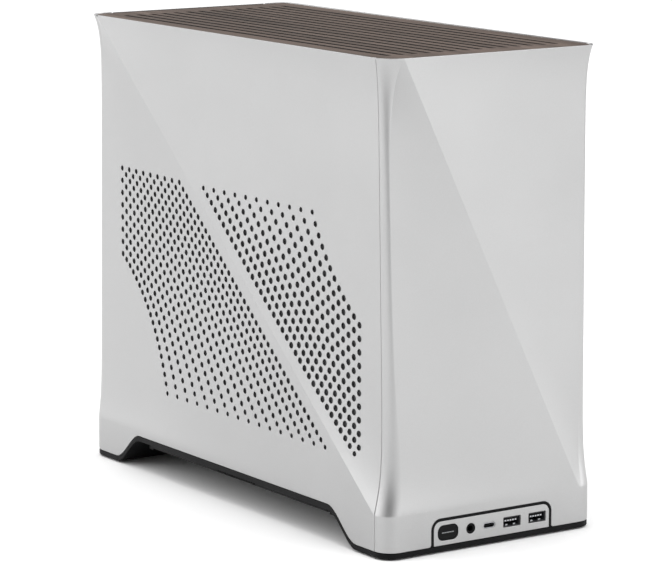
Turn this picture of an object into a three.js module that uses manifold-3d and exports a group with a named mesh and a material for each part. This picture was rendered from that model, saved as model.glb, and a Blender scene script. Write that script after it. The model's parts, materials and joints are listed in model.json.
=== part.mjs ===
// Small desktop computer: pressed aluminium case, slatted walnut lid, black base with a floor arch.
// Millimetres, +Z up. The origin is on the floor under the middle of the case, and the ports face -Y.
import * as THREE from "three";
import { mergeVertices } from "three/addons/utils/BufferGeometryUtils.js";
import Module from "manifold-3d";

const wasm = await Module();
wasm.setup();

// Driving dimensions of the case.
const WIDTH = 166;
const DEPTH = 366;
const HEIGHT = 315;
const HALF_WIDTH = WIDTH / 2;
const HALF_DEPTH = DEPTH / 2;
const SKIN = 1.2; // thickness of the aluminium and steel sheet
const GAP = 0.3; // clearance between neighbouring pieces
const SKIRT = 4.8; // height of the aluminium's lower edge over the feet
const BAND = 28; // top of the straight band that runs round the bottom of the case
const CORNER = 12; // radius of the vertical corners where nothing presses them in
const SEAM = HALF_DEPTH - CORNER; // where the side panels meet the front
const PRESS = 6.5; // deepest that a face is pressed in at its side edges
const PRESS_FADE = 0.68; // share of the press that is gone at the far end of an edge
const FLANGE_END = 64; // half width of the gap that the rear panel closes
const REAR_FACE = HALF_DEPTH - GAP; // outer face of the rear panel

// The arch between the feet: half length of its flat top, half length at the feet, and heights.
const ARCH = { flat: 118, foot: 150, top: 24.7, lip: 4 };
const FOOT_FLOOR = 1; // underside of the black feet, above the rubber pads

// The lid.
const LID_TOP = HEIGHT - 0.4;
const LID_SHOULDER = 310.8;
const LID_BOTTOM = 305;
const SLOT = { count: 14, pitch: 10, width: 4.4, halfLength: 161 };

// The port window in the front's band: half width, top and corner radius of the plate.
const PLATE = { halfWidth: 45.6, top: 20.6, bottom: SKIRT + 0.2, radius: 5 };
const TRIM = 1.4; // width of the black surround
const PORT_HEIGHT = 12.9;
const BUTTON = { x: -34.6, width: 15.4, height: 9.6, radius: 3.4, face: -182.9 };
const PORTS_A = { left: 15.8, right: 36 };
const PORT_C_X = -2.3;
const JACK_X = -16.9;
const IO_BOARD = { bottom: 5.8, top: 7.3 }; // the board that the front ports stand on

// Fans.
const CASE_FAN = { size: 120, thick: 25, bore: 58, rotor: 56, hub: 20, blades: 7 };
const BLADE = { thick: 1.2, pitch: 0.55, sweep: 6 }; // pitch in radians, sweep at the tip
const COOLER_FAN = { size: 92, thick: 15, bore: 44, rotor: 42.4, hub: 16, blades: 7 };
const FAN_Y = 62; // the two case fans of a pair stand at plus and minus this
const FLOOR_TOP = 25.5; // top face of the steel floor
const ROOF_BOTTOM = 301; // lower face of the steel roof under the lid

// Main board and what stands on it.
const BOARD = { x: -6.5, thick: 1.6, y0: 8, y1: 178, z0: 92, z1: 262 };
const BOARD_FACE = BOARD.x - BOARD.thick;
const SOCKET = { y: 98, z: 186 };

// Graphics card.
const CARD = { x: 8, thick: 1.6, y0: -86, y1: 176, z0: 108, z1: 222 };
const CARD_FANS_Y = [-25, 100];
const CARD_FAN_Z = 167;

const PSU = { x0: -73.5, x1: -10, y0: -165, y1: -65, z0: 140, z1: 265 };

// ---------------------------------------------------------------- solids

function solid(geometry) {
  const bare = new THREE.BufferGeometry();
  bare.setAttribute("position", geometry.getAttribute("position"));
  if (geometry.index) bare.setIndex(geometry.index);
  const merged = mergeVertices(bare, 1e-4);
  const mesh = new wasm.Mesh({
    numProp: 3,
    vertProperties: new Float32Array(merged.attributes.position.array),
    triVerts: new Uint32Array(merged.index.array),
  });
  return new wasm.Manifold(mesh);
}

function cut(body, ...tools) {
  return tools.reduce((left, tool) => left.subtract(tool), body);
}

function join(body, ...others) {
  return others.reduce((sum, other) => sum.add(other), body);
}

function box(x0, x1, y0, y1, z0, z1) {
  const geometry = new THREE.BoxGeometry(x1 - x0, y1 - y0, z1 - z0);
  geometry.translate((x0 + x1) / 2, (y0 + y1) / 2, (z0 + z1) / 2);
  return solid(geometry);
}

const ALONG = {
  x: new THREE.Matrix4().set(0, 0, 1, 0, 1, 0, 0, 0, 0, 1, 0, 0, 0, 0, 0, 1),
  y: new THREE.Matrix4().set(1, 0, 0, 0, 0, 0, -1, 0, 0, 1, 0, 0, 0, 0, 0, 1),
  z: new THREE.Matrix4(),
};

// A shape pushed along an axis from low to high. Along x the shape is drawn in (y, z),
// along y in (x, z) and along z in (x, y).
function prism(shape, axis, low, high, curveSegments = 6) {
  const options = { depth: high - low, bevelEnabled: false, curveSegments };
  const geometry = new THREE.ExtrudeGeometry(shape, options);
  const start = axis === "y" ? -high : low;
  geometry.translate(0, 0, start).applyMatrix4(ALONG[axis]);
  return solid(geometry);
}

function disc(radius, axis, low, high, a, b, sides = 24) {
  const shape = new THREE.Shape();
  shape.absarc(a, b, radius, 0, 2 * Math.PI);
  return prism(shape, axis, low, high, sides / 2);
}

// A rectangle with rounded corners, centred on (a, b).
function roundedRectangle(a, b, width, height, radius) {
  const w = width / 2 - radius;
  const h = height / 2 - radius;
  const shape = new THREE.Shape();
  shape.absarc(a + w, b + h, radius, 0, Math.PI / 2);
  shape.absarc(a - w, b + h, radius, Math.PI / 2, Math.PI);
  shape.absarc(a - w, b - h, radius, Math.PI, 1.5 * Math.PI);
  shape.absarc(a + w, b - h, radius, 1.5 * Math.PI, 2 * Math.PI);
  shape.closePath();
  return shape;
}

function polygon(points) {
  return new THREE.Shape(points.map(([a, b]) => new THREE.Vector2(a, b)));
}

// A solid between two grids of points that face each other: rows of [x, y, z], outer and inner.
function sheet(outer, inner) {
  const rows = outer.length;
  const columns = outer[0].length;
  const position = [outer, inner].flat(3);
  const index = [];
  const at = (side, row, column) => side * rows * columns + row * columns + column;
  const quad = (a, b, c, d) => index.push(a, b, c, a, c, d);
  const end = columns - 1;
  for (let r = 0; r < rows - 1; r++) {
    for (let c = 0; c < end; c++) {
      quad(at(0, r, c), at(0, r, c + 1), at(0, r + 1, c + 1), at(0, r + 1, c));
      quad(at(1, r, c), at(1, r + 1, c), at(1, r + 1, c + 1), at(1, r, c + 1));
    }
    quad(at(0, r, 0), at(0, r + 1, 0), at(1, r + 1, 0), at(1, r, 0));
    quad(at(0, r + 1, end), at(0, r, end), at(1, r, end), at(1, r + 1, end));
  }
  for (let c = 0; c < end; c++) {
    quad(at(0, 0, c + 1), at(0, 0, c), at(1, 0, c), at(1, 0, c + 1));
    quad(at(0, rows - 1, c), at(0, rows - 1, c + 1), at(1, rows - 1, c + 1), at(1, rows - 1, c));
  }
  const geometry = new THREE.BufferGeometry();
  geometry.setAttribute("position", new THREE.Float32BufferAttribute(position, 3));
  geometry.setIndex(index);
  return solid(geometry);
}

// A solid whose sections are rings of [x, y] with equal counts, at rising heights.
function loft(rings, heights) {
  const count = rings[0].length;
  const position = rings.flatMap((ring, level) => ring.flatMap(([x, y]) => [x, y, heights[level]]));
  const index = [];
  for (let level = 0; level < rings.length - 1; level++) {
    for (let i = 0; i < count; i++) {
      const a = level * count + i;
      const b = level * count + ((i + 1) % count);
      index.push(a, b, b + count, a, b + count, a + count);
    }
  }
  const contour = rings[0].map(([x, y]) => new THREE.Vector2(x, y));
  const last = (rings.length - 1) * count;
  for (const [a, b, c] of THREE.ShapeUtils.triangulateShape(contour, [])) {
    index.push(a, c, b, last + a, last + b, last + c);
  }
  const geometry = new THREE.BufferGeometry();
  geometry.setAttribute("position", new THREE.Float32BufferAttribute(position, 3));
  geometry.setIndex(index);
  return solid(geometry);
}

// ---------------------------------------------------------------- shape of the case

// Each face has a crease from its top left to its bottom right, seen from outside, and is
// pressed in along its side edges: most near the top at its left edge, and most near the
// bottom at its right edge. Top outline and bottom band keep the full rectangle.
const rise = (distance, length, power = 1) =>
  distance <= 0 ? 0 : 1 - Math.exp(-((distance / length) ** power));

function pressLeft(z) {
  const fade = 1 - (PRESS_FADE * (HEIGHT - z)) / (HEIGHT - BAND);
  return PRESS * fade * rise(HEIGHT - z, 13) * rise(z - BAND, 14);
}

function pressRight(z) {
  const fade = 1 - (PRESS_FADE * (z - BAND)) / (HEIGHT - BAND);
  return PRESS * fade * rise(z - BAND, 20, 1.2) * rise(HEIGHT - z, 13);
}

// Width in X of the two front corners' rounding: wide in the band and at the top, crisp between.
const creasedCorner = (z) =>
  3.2 + 9.8 * (1 - rise(HEIGHT - z, 22)) + 8.4 * (1 - rise(z - BAND, 60, 1.5));
const softCorner = (z) => 6 + 7 * (1 - rise(HEIGHT - z, 16)) + 5.6 * (1 - rise(z - BAND, 30));

// The four corners at height z, counter-clockwise from the front left, each with the centre
// and half axes of its quarter ellipse and the angle where the ellipse starts.
function corners(z) {
  const left = creasedCorner(z);
  const right = softCorner(z);
  const low = pressLeft(z);
  const high = pressRight(z);
  return [
    { x: -HALF_WIDTH + high + left, y: -SEAM, a: left, b: CORNER - low, start: 180 },
    { x: HALF_WIDTH - low - right, y: -SEAM, a: right, b: CORNER - high, start: 270 },
    { x: HALF_WIDTH - high - CORNER, y: SEAM, a: CORNER, b: CORNER, start: 0 },
    { x: -HALF_WIDTH + low + CORNER, y: SEAM, a: CORNER, b: CORNER, start: 90 },
  ];
}

function arc({ x, y, a, b, start }, inset, steps) {
  return Array.from({ length: steps + 1 }, (_, i) => {
    const angle = THREE.MathUtils.degToRad(start + (90 * i) / steps);
    return [x + (a - inset) * Math.cos(angle), y + (b - inset) * Math.sin(angle)];
  });
}

// Where the crease of a face is at height z, as a place from -1 at its top left to 1 at its
// bottom right, kept a little short of both ends.
const creasePlace = (z) =>
  THREE.MathUtils.clamp(1 - (2 * (z - BAND)) / (HEIGHT - BAND), -0.995, 0.995);
const CREASE_REACH = { front: 70, side: 170.6 }; // half length of each face's crease, along the face
const frontCrease = (z) => CREASE_REACH.front * creasePlace(z);
const sideCrease = (z) => CREASE_REACH.side * creasePlace(z);

// Heights of a panel's rows of points, closer together where the face bends most.
const rowsBetween = (...middle) => [SKIRT, BAND, ...middle, HEIGHT];
const FRONT_ROWS = rowsBetween(31, 36, 43, 52, 66, 88, 125, 170, 215, 250, 274, 289, 299, 306, 311);
const SIDE_ROWS = rowsBetween(31, 36, 43, 54, 72, 110, 170, 230, 268, 288, 299, 306, 311);

function frontSection(z, inset, steps = 5) {
  const [left, right] = corners(z);
  const crease = [frontCrease(z), -HALF_DEPTH + inset];
  return [...arc(left, inset, steps), crease, ...arc(right, inset, steps)];
}

// The left side's section, from the end of its rear flange to the seam beside the front.
function leftSection(z, inset) {
  const [front, , , back] = corners(z);
  const flange = [-FLANGE_END, HALF_DEPTH - inset];
  const crease = [-HALF_WIDTH + inset, -sideCrease(z)];
  const seam = [-HALF_WIDTH + pressRight(z) + inset, front.y + GAP];
  return [flange, ...arc(back, inset, 4), crease, seam];
}

// The right side's section, from the seam beside the front to the end of its rear flange.
function rightSection(z, inset) {
  const [, front, back] = corners(z);
  const seam = [HALF_WIDTH - pressLeft(z) - inset, front.y + GAP];
  const crease = [HALF_WIDTH - inset, sideCrease(z)];
  return [seam, crease, ...arc(back, inset, 4), [FLANGE_END, HALF_DEPTH - inset]];
}

function skin(section, rows) {
  const grid = (inset) => rows.map((z) => section(z, inset).map(([x, y]) => [x, y, z]));
  return sheet(grid(0), grid(SKIN));
}

// How far the left side's outer face lies inside the full width at (y, z).
function leftInset(y, z) {
  const crease = -sideCrease(z);
  if (y > crease) return (pressLeft(z) * (y - crease)) / (SEAM - crease);
  return (pressRight(z) * (crease - y)) / (crease + SEAM);
}

// The closed outline of the whole case at height z, inset by a wall and a gap.
function outline(z, inset, steps = 4) {
  const [a, b, c, d] = corners(z);
  return [
    ...arc(a, inset, steps),
    [frontCrease(z), -HALF_DEPTH + inset],
    ...arc(b, inset, steps),
    [HALF_WIDTH - inset, sideCrease(z)],
    ...arc(c, inset, steps),
    ...arc(d, inset, steps),
    [-HALF_WIDTH + inset, -sideCrease(z)],
  ];
}

// The arch's edge from the front foot to the rear foot at a height below the aluminium's edge.
function archCurve(drop, steps = 6) {
  const points = [];
  const low = SKIRT - drop;
  const high = ARCH.top - drop;
  for (let i = 0; i <= steps; i++) {
    const t = i / steps;
    const ease = t * t * (3 - 2 * t);
    points.push([-ARCH.foot + (ARCH.foot - ARCH.flat) * t, low + (high - low) * ease]);
  }
  return [...points, ...points.map(([y, z]) => [-y, z]).reverse()];
}

// ---------------------------------------------------------------- materials and the group

const finish = (color, roughness, metalness) =>
  new THREE.MeshStandardMaterial({ color, roughness, metalness });
const MATERIAL = {
  aluminium: finish(0xc9cacb, 0.42, 0.9),
  walnut: finish(0x7d6a5e, 0.6, 0),
  blackPlastic: finish(0x1c1c1e, 0.55, 0),
  blackSteel: finish(0x26272a, 0.5, 0.4),
  rubber: finish(0x141414, 0.9, 0),
  board: finish(0x14281e, 0.5, 0),
  metal: finish(0xb8bbc0, 0.3, 1),
  fins: finish(0xa9adb2, 0.35, 1),
  light: finish(0xe8eef2, 0.3, 0),
  mesh: finish(0x2c2c2e, 0.8, 0),
  fan: finish(0x242426, 0.5, 0),
};

const computer = new THREE.Group();

function add(name, body, material) {
  const { numProp, vertProperties, triVerts } = body.getMesh();
  const geometry = new THREE.BufferGeometry();
  const position = new THREE.BufferAttribute(vertProperties.slice(), numProp);
  geometry.setAttribute("position", position);
  geometry.setIndex(new THREE.BufferAttribute(triVerts.slice(), 1));
  geometry.computeVertexNormals();
  const mesh = new THREE.Mesh(geometry, MATERIAL[material]);
  mesh.name = name;
  computer.add(mesh);
}

// ---------------------------------------------------------------- outer shell

// The shape of the port window, grown on all sides but the bottom.
function windowShape(grow) {
  const { halfWidth, top, bottom, radius } = PLATE;
  const w = halfWidth + grow - radius;
  const h = top + grow - radius;
  const shape = new THREE.Shape();
  shape.moveTo(-halfWidth - grow, bottom);
  shape.lineTo(halfWidth + grow, bottom);
  shape.absarc(w, h, radius, 0, Math.PI / 2);
  shape.absarc(-w, h, radius, Math.PI / 2, Math.PI);
  shape.closePath();
  return shape;
}

const portWindow = (grow, y0, y1, extra = 0) => {
  const body = prism(windowShape(grow), "y", y0, y1, 4);
  if (!extra) return body;
  const w = PLATE.halfWidth + grow;
  return join(body, box(-w, w, y0, y1, PLATE.bottom - extra, PLATE.bottom + 1));
};

function frontPanel() {
  const body = skin(frontSection, FRONT_ROWS);
  const opening = portWindow(TRIM + 2 * GAP, -HALF_DEPTH - 5, -HALF_DEPTH + 5, 5);
  add("front_panel", cut(body, opening), "aluminium");
}

// The studs that hold each side panel: their places, radius and how far in they reach.
const STUD = { y: 140, low: 33, high: 293, radius: 2.4, reach: 69.5 };

function sidePanels() {
  const arch = polygon([...archCurve(0), [ARCH.foot, -5], [-ARCH.foot, -5]]);
  const through = prism(arch, "x", -HALF_WIDTH - 5, HALF_WIDTH + 5);
  const studs = (side) =>
    [-STUD.y, STUD.y].flatMap((y) =>
      [STUD.low, STUD.high].map((z) => {
        const root = HALF_WIDTH - leftInset(side < 0 ? y : -y, z) - SKIN / 2;
        const [low, high] = side < 0 ? [-root, -STUD.reach] : [STUD.reach, root];
        return disc(STUD.radius, "x", low, high, y, z, 8);
      }),
    );
  const left = cut(skin(leftSection, SIDE_ROWS), through);
  const right = cut(skin(rightSection, SIDE_ROWS), through);
  add("side_panel_left", join(left, ...studs(-1)), "aluminium");
  add("side_panel_right", join(right, ...studs(1)), "aluminium");
}

// Rear port openings, each as [middle x, middle z, width x, height z].
const REAR_PORTS = [
  [-20, 236, 14, 15],
  [-38, 236, 14, 15],
  [-19, 212, 12, 15],
  [-35, 212, 14, 15],
  [-20, 184, 14, 15],
  [-38, 184, 14, 15],
  [-22, 156, 18, 16],
  [-29, 124, 30, 12],
];
const IO_BAY = { x0: -53, x1: -8.6, z0: 95, z1: 254 };
const SLOTS_X = [12, 32.3, 52.6]; // middles of the three expansion slots
const SLOT_WIDTH = 18;
const CARD_BAY = { z0: 110, z1: 224 };
const INLET = { x: -36, z: 69, width: 28, height: 20, gap: 0.5 };
const RIM = 1; // how far a bay's opening is smaller than the piece behind it
const SHIELD_FACE = 181.1; // outer face of the pieces just inside the rear panel
const VENTS = { each: 4, pitch: 12.5, width: 6, top: [266, 294], bottom: [33, 47] };
const BEHIND = [170, 190]; // from inside the rear panel to outside it

function rearPanel() {
  const half = FLANGE_END - GAP;
  const inner = REAR_FACE - SKIN;
  let body = box(-half, half, inner, REAR_FACE, SKIRT + GAP, HEIGHT - 0.2);
  for (const side of [-1, 1]) {
    const [x0, x1] = side < 0 ? [-half, -half + SKIN] : [half - SKIN, half];
    body = join(body, box(x0, x1, inner - 12, inner + 0.5, 30, 298));
  }
  const hole = (x, width, z0, z1) => box(x - width / 2, x + width / 2, ...BEHIND, z0, z1);
  const { x0, x1, z0, z1 } = IO_BAY;
  const holes = [hole((x0 + x1) / 2, x1 - x0 - 2 * RIM, z0 + RIM, z1 - RIM)];
  for (const x of SLOTS_X) holes.push(hole(x, SLOT_WIDTH, CARD_BAY.z0, CARD_BAY.z1));
  const halfMouth = INLET.height / 2 + INLET.gap;
  holes.push(hole(INLET.x, INLET.width + 2 * INLET.gap, INLET.z - halfMouth, INLET.z + halfMouth));
  for (let i = -VENTS.each; i <= VENTS.each; i++) {
    holes.push(hole(i * VENTS.pitch, VENTS.width, ...VENTS.top));
    holes.push(hole(i * VENTS.pitch, VENTS.width, ...VENTS.bottom));
  }
  add("rear_panel", cut(body, ...holes), "blackSteel");
}

function topGrille() {
  const wall = SKIN + GAP;
  const plate = loft(
    [outline(LID_SHOULDER, wall + 0.1), outline(LID_TOP, wall + 0.1)],
    [LID_SHOULDER, LID_TOP],
  );
  const rear = box(-90, 90, REAR_FACE - SKIN - GAP, 200, 290, 330);
  const block = prism(roundedRectangle(0, 0, 144, 340, 6), "z", LID_BOTTOM, LID_TOP - 1, 2);
  const slots = [];
  for (let i = 0; i < SLOT.count; i++) {
    const x = (i - (SLOT.count - 1) / 2) * SLOT.pitch;
    const shape = roundedRectangle(x, 0, SLOT.width, 2 * SLOT.halfLength, SLOT.width / 2 - 0.01);
    slots.push(prism(shape, "z", LID_BOTTOM - 5, LID_TOP + 5, 2));
  }
  add("top_grille", cut(join(plate, block), rear, ...slots), "walnut");
}

// ---------------------------------------------------------------- base

const FILTER = { x: 78, y: 112, z0: 17.2, z1: 20.3, rim: [8, 6], bar: 2 };
const RAIL = { x: 76, low: 15.2, wall: 113, ledge: 110.5, outer: 116 }; // what the filter slides on
const PAD = { x: 62, y: 166, radius: 9, height: 3 };

// Round holes for the air of a pair of case fans.
function fanHoles(z0, z1) {
  return [-FAN_Y, FAN_Y].map((y) => disc(CASE_FAN.rotor, "z", z0, z1, 0, y, 28));
}

function baseTray() {
  const footprint = (inset) =>
    loft([outline(0, inset), outline(0, inset)], [FOOT_FLOOR, FLOOR_TOP - 1.5]);
  // The outer lip stands flush under the aluminium, and the body stands inside it.
  const upper = archCurve(GAP);
  const underside = archCurve(ARCH.lip).map(([y, z]) => [y, Math.max(z, FOOT_FLOOR)]);
  const end = HALF_DEPTH + 1;
  const lipShape = polygon([
    [-end, FOOT_FLOOR],
    ...underside,
    [end, FOOT_FLOOR],
    [end, SKIRT - GAP],
    ...upper.toReversed(),
    [-end, SKIRT - GAP],
  ]);
  const bodyShape = polygon([
    [-end, FOOT_FLOOR],
    ...underside,
    [end, FOOT_FLOOR],
    [end, FLOOR_TOP - 1.5],
    [-end, FLOOR_TOP - 1.5],
  ]);
  const lip = prism(lipShape, "x", -HALF_WIDTH, HALF_WIDTH).intersect(footprint(0.4));
  const body = prism(bodyShape, "x", -HALF_WIDTH, HALF_WIDTH).intersect(footprint(SKIN + GAP));
  const rails = [-1, 1].flatMap((side) => {
    const { x, low, wall, ledge, outer } = RAIL;
    const across = (near, far) => (side < 0 ? [-far, -near] : [near, far]);
    return [
      box(-x, x, ...across(wall, outer), low, FLOOR_TOP - 3.5),
      box(-x, x, ...across(ledge, wall + 1), low, FILTER.z0 - GAP),
    ];
  });
  const tools = fanHoles(10, 30);
  for (const side of [-1, 1]) {
    const [y0, y1] = side < 0 ? [-179, -154] : [154, 179];
    tools.push(box(-76, 76, y0, y1, 5.5, 30));
    for (const x of [-PAD.x, PAD.x]) {
      tools.push(disc(PAD.radius + GAP, "z", -1, PAD.height + GAP, x, side * PAD.y, 16));
    }
  }
  const portBay = PLATE.halfWidth + 2 * TRIM;
  tools.push(box(-portBay, portBay, -190, -170, SKIRT - GAP, 30));
  add("base_tray", cut(join(body, lip, ...rails), ...tools), "blackPlastic");

  for (const [row, y] of [["front", -PAD.y], ["rear", PAD.y]]) {
    for (const [side, x] of [["left", -PAD.x], ["right", PAD.x]]) {
      add(`foot_pad_${row}_${side}`, disc(PAD.radius, "z", 0, PAD.height, x, y, 16), "rubber");
    }
  }
}

function dustFilter() {
  const { x, y, z0, z1, rim, bar } = FILTER;
  const half = x - rim[0];
  const front = box(-half, half, -y + rim[1], -bar, 0, 30);
  const rear = box(-half, half, bar, y - rim[1], 0, 30);
  const inside = (gap) =>
    box(-x + 5 + gap, x - 5 - gap, -y + 4 + gap, y - 4 - gap, z0 + 1 + gap, z1 - 1 - gap);
  add("filter_frame", cut(box(-x, x, -y, y, z0, z1), front, rear, inside(0)), "blackPlastic");
  add("filter_mesh", inside(GAP), "mesh");
}

// ---------------------------------------------------------------- front ports

function frontPorts() {
  const face = -HALF_DEPTH;
  const trim = cut(
    portWindow(TRIM + GAP, face + 0.2, face + 6),
    portWindow(GAP, face - 5, face + 10, 5),
  );
  add("io_trim", trim, "blackPlastic");

  const hole = (shape) => prism(shape, "y", -190, -175, 4);
  const z = PORT_HEIGHT;
  const { x, width, height, radius } = BUTTON;
  const openings = [
    hole(roundedRectangle(x, z, width + 0.6, height + 0.6, radius + 0.3)),
    hole(roundedRectangle(PORT_C_X, z, 9.6, 4, 1.95)),
    disc(3.4, "y", -190, -175, JACK_X, z, 16),
    ...Object.values(PORTS_A).map((a) => hole(roundedRectangle(a, z, 13.8, 6.6, 0.5))),
  ];
  add("io_plate", cut(portWindow(0, face, face + 1.6), ...openings), "aluminium");

  const cap = prism(roundedRectangle(x, z, width, height, radius), "y", BUTTON.face, -178, 4);
  const stem = box(x - 2, x + 2, -178.5, -174.8, z - 2, z + 2);
  const groove = box(x - 5, x + 5, -190, -181.4, z - 0.7, z + 0.7);
  add("power_button", cut(join(cap, stem), groove), "blackPlastic");
  add("button_light_guide", box(x - 4.8, x + 4.8, BUTTON.face, -181.6, z - 0.5, z + 0.5), "light");
  const housing = box(x - 3.2, x + 3.2, -172, -167, IO_BOARD.top + GAP, z + 3);
  const plunger = box(x - 1.5, x + 1.5, -173.4, -171, z - 1.5, z + 1.5);
  add("power_switch", join(housing, plunger), "blackPlastic");

  const back = -166;
  for (const [side, a] of Object.entries(PORTS_A)) {
    const outer = prism(roundedRectangle(a, z, 13.3, 6.1, 0.6), "y", face + 0.3, back, 2);
    const above = box(a - 6.1, a + 6.1, -190, back - 2, z - 2.5, z + 0.2);
    const below = box(a - 6.1, a + 6.1, -190, back - 2, z - 2.5, z + 2.5);
    const tongue = box(a - 5.5, a + 5.5, face + 2, back - 1, z + 0.5, z + 2.2);
    add(`usb_a_port_${side}`, join(cut(outer, above, below), tongue), "metal");
  }
  const outerC = prism(roundedRectangle(PORT_C_X, z, 9, 3.4, 1.69), "y", face + 0.3, back - 4, 3);
  const innerC = prism(roundedRectangle(PORT_C_X, z, 8.4, 2.8, 1.39), "y", face - 3, back - 6, 3);
  const tongueC = box(PORT_C_X - 3.2, PORT_C_X + 3.2, face + 1.5, back - 5, z - 0.35, z + 0.35);
  add("usb_c_port", join(cut(outerC, innerC), tongueC), "metal");
  const jack = join(
    disc(3.1, "y", face + 0.3, -179, JACK_X, z, 16),
    box(JACK_X - 3.5, JACK_X + 3.5, -180, -168, IO_BOARD.top + GAP, z + 3.4),
  );
  add("audio_jack", cut(jack, disc(1.8, "y", -190, -170, JACK_X, z, 12)), "blackPlastic");
  add("front_io_board", box(-43, 45, -180, -157, IO_BOARD.bottom, IO_BOARD.top), "board");
}

// ---------------------------------------------------------------- steel frame

function steelFrame() {
  // A sheet with both long edges turned up or down: half its width, its face and its edges' ends.
  const tray = (half, y0, y1, face, low, high) => {
    const edge = (x) => box(x - SKIN / 2, x + SKIN / 2, -150, 150, low, high);
    const middle = half - SKIN / 2;
    return join(box(-half, half, y0, y1, face - SKIN, face), edge(-middle), edge(middle));
  };
  const studHoles = (z) =>
    [-STUD.y, STUD.y].map((y) => disc(STUD.radius + 0.8, "x", -80, 80, y, z, 10));
  const floor = tray(73.2, -173, 179, FLOOR_TOP, FLOOR_TOP - 1, 40);
  const cablePass = [box(-40, 40, -172, -156, 0, 60), box(-60, -25, 156, 172, 0, 60)];
  const floorCuts = [...fanHoles(0, 60), ...cablePass, ...studHoles(STUD.low)];
  add("chassis_floor", cut(floor, ...floorCuts), "blackSteel");

  const roof = tray(74, -172, 177, ROOF_BOTTOM + SKIN, 286, ROOF_BOTTOM + 1);
  add("top_frame", cut(roof, ...fanHoles(280, 320), ...studHoles(STUD.high)), "blackSteel");

  const upright = [FLOOR_TOP + GAP, ROOF_BOTTOM - GAP];
  const bracket = join(
    box(-69, 69, -173.5, -172.3, ...upright),
    box(-69, -67.8, -172.8, -166, ...upright),
    box(67.8, 69, -172.8, -166, ...upright),
  );
  const windows = [90, 150, 210, 260].map((z) => box(-50, 50, -180, -170, z - 15, z + 15));
  add("front_bracket", cut(bracket, ...windows), "blackSteel");

  const fanBay = CASE_FAN.thick + 2 * GAP + 1;
  let spine = box(-0.6, 0.6, -150, 178, ...upright);
  spine = cut(
    spine,
    box(-5, 5, -124, 124, 0, FLOOR_TOP + fanBay),
    box(-5, 5, -124, 124, ROOF_BOTTOM - fanBay, 320),
    box(-5, 5, 58, 152, 80, 92),
    box(-5, 5, -60, -10, 110, 150),
  );
  const standoffs = [BOARD.y0 + 6, BOARD.y1 - 14].flatMap((y) =>
    [BOARD.z0 + 12, BOARD.z1 - 6].map((z) => disc(3, "x", BOARD.x + GAP, 0, y, z, 6)),
  );
  add("chassis_spine", join(spine, ...standoffs), "blackSteel");
}

// ---------------------------------------------------------------- fans

// A square fan frame round the axis Z, lying from z = 0 up, with a hub plate on four arms below.
function fanFrame({ size, thick, bore, hub }) {
  const half = size / 2;
  const block = prism(roundedRectangle(0, 0, size, size, 5), "z", 0, thick, 2);
  const hole = disc(bore, "z", -1, thick + 1, 0, 0, 24);
  const arms = [box(-half + 2, half - 2, -2, 2, 0, 1.6), box(-2, 2, -half + 2, half - 2, 0, 1.6)];
  return join(cut(block, hole), ...arms, disc(hub, "z", 0, 1.6, 0, 0, 12));
}

// The rotor that turns in it: flat blades at a pitch, swept forward and joined to the hub.
function fanRotor({ thick, rotor, hub, blades }) {
  const low = 2.4;
  const high = thick - 1;
  const chord = (rotor - hub) * 0.62;
  const { pitch, sweep } = BLADE;
  const root = hub - 2;
  const reach = Math.sqrt(rotor ** 2 - (chord / 2 + sweep) ** 2) - root;
  const blade = new THREE.BoxGeometry(reach, chord, BLADE.thick);
  const sheared = new THREE.Matrix4().makeShear(sweep / reach, 0, 0, 0, 0, 0);
  blade.rotateX(pitch).applyMatrix4(sheared);
  blade.translate(root + reach / 2, sweep / 2, (low + high) / 2);
  const one = solid(blade);
  const turned = Array.from({ length: blades }, (_, i) => one.rotate([0, 0, (360 * i) / blades]));
  return join(disc(hub, "z", low, high, 0, 0, 12), ...turned);
}

function caseFans() {
  for (const [row, y] of [["front", -FAN_Y], ["rear", FAN_Y]]) {
    const low = [0, y, FLOOR_TOP + GAP];
    const high = [0, y, ROOF_BOTTOM - GAP - CASE_FAN.thick];
    for (const [level, place] of [["bottom", low], ["top", high]]) {
      add(`${level}_fan_${row}_frame`, fanFrame(CASE_FAN).translate(place), "fan");
      add(`${level}_fan_${row}_rotor`, fanRotor(CASE_FAN).translate(place), "fan");
    }
  }
}

// ---------------------------------------------------------------- main board

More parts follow.
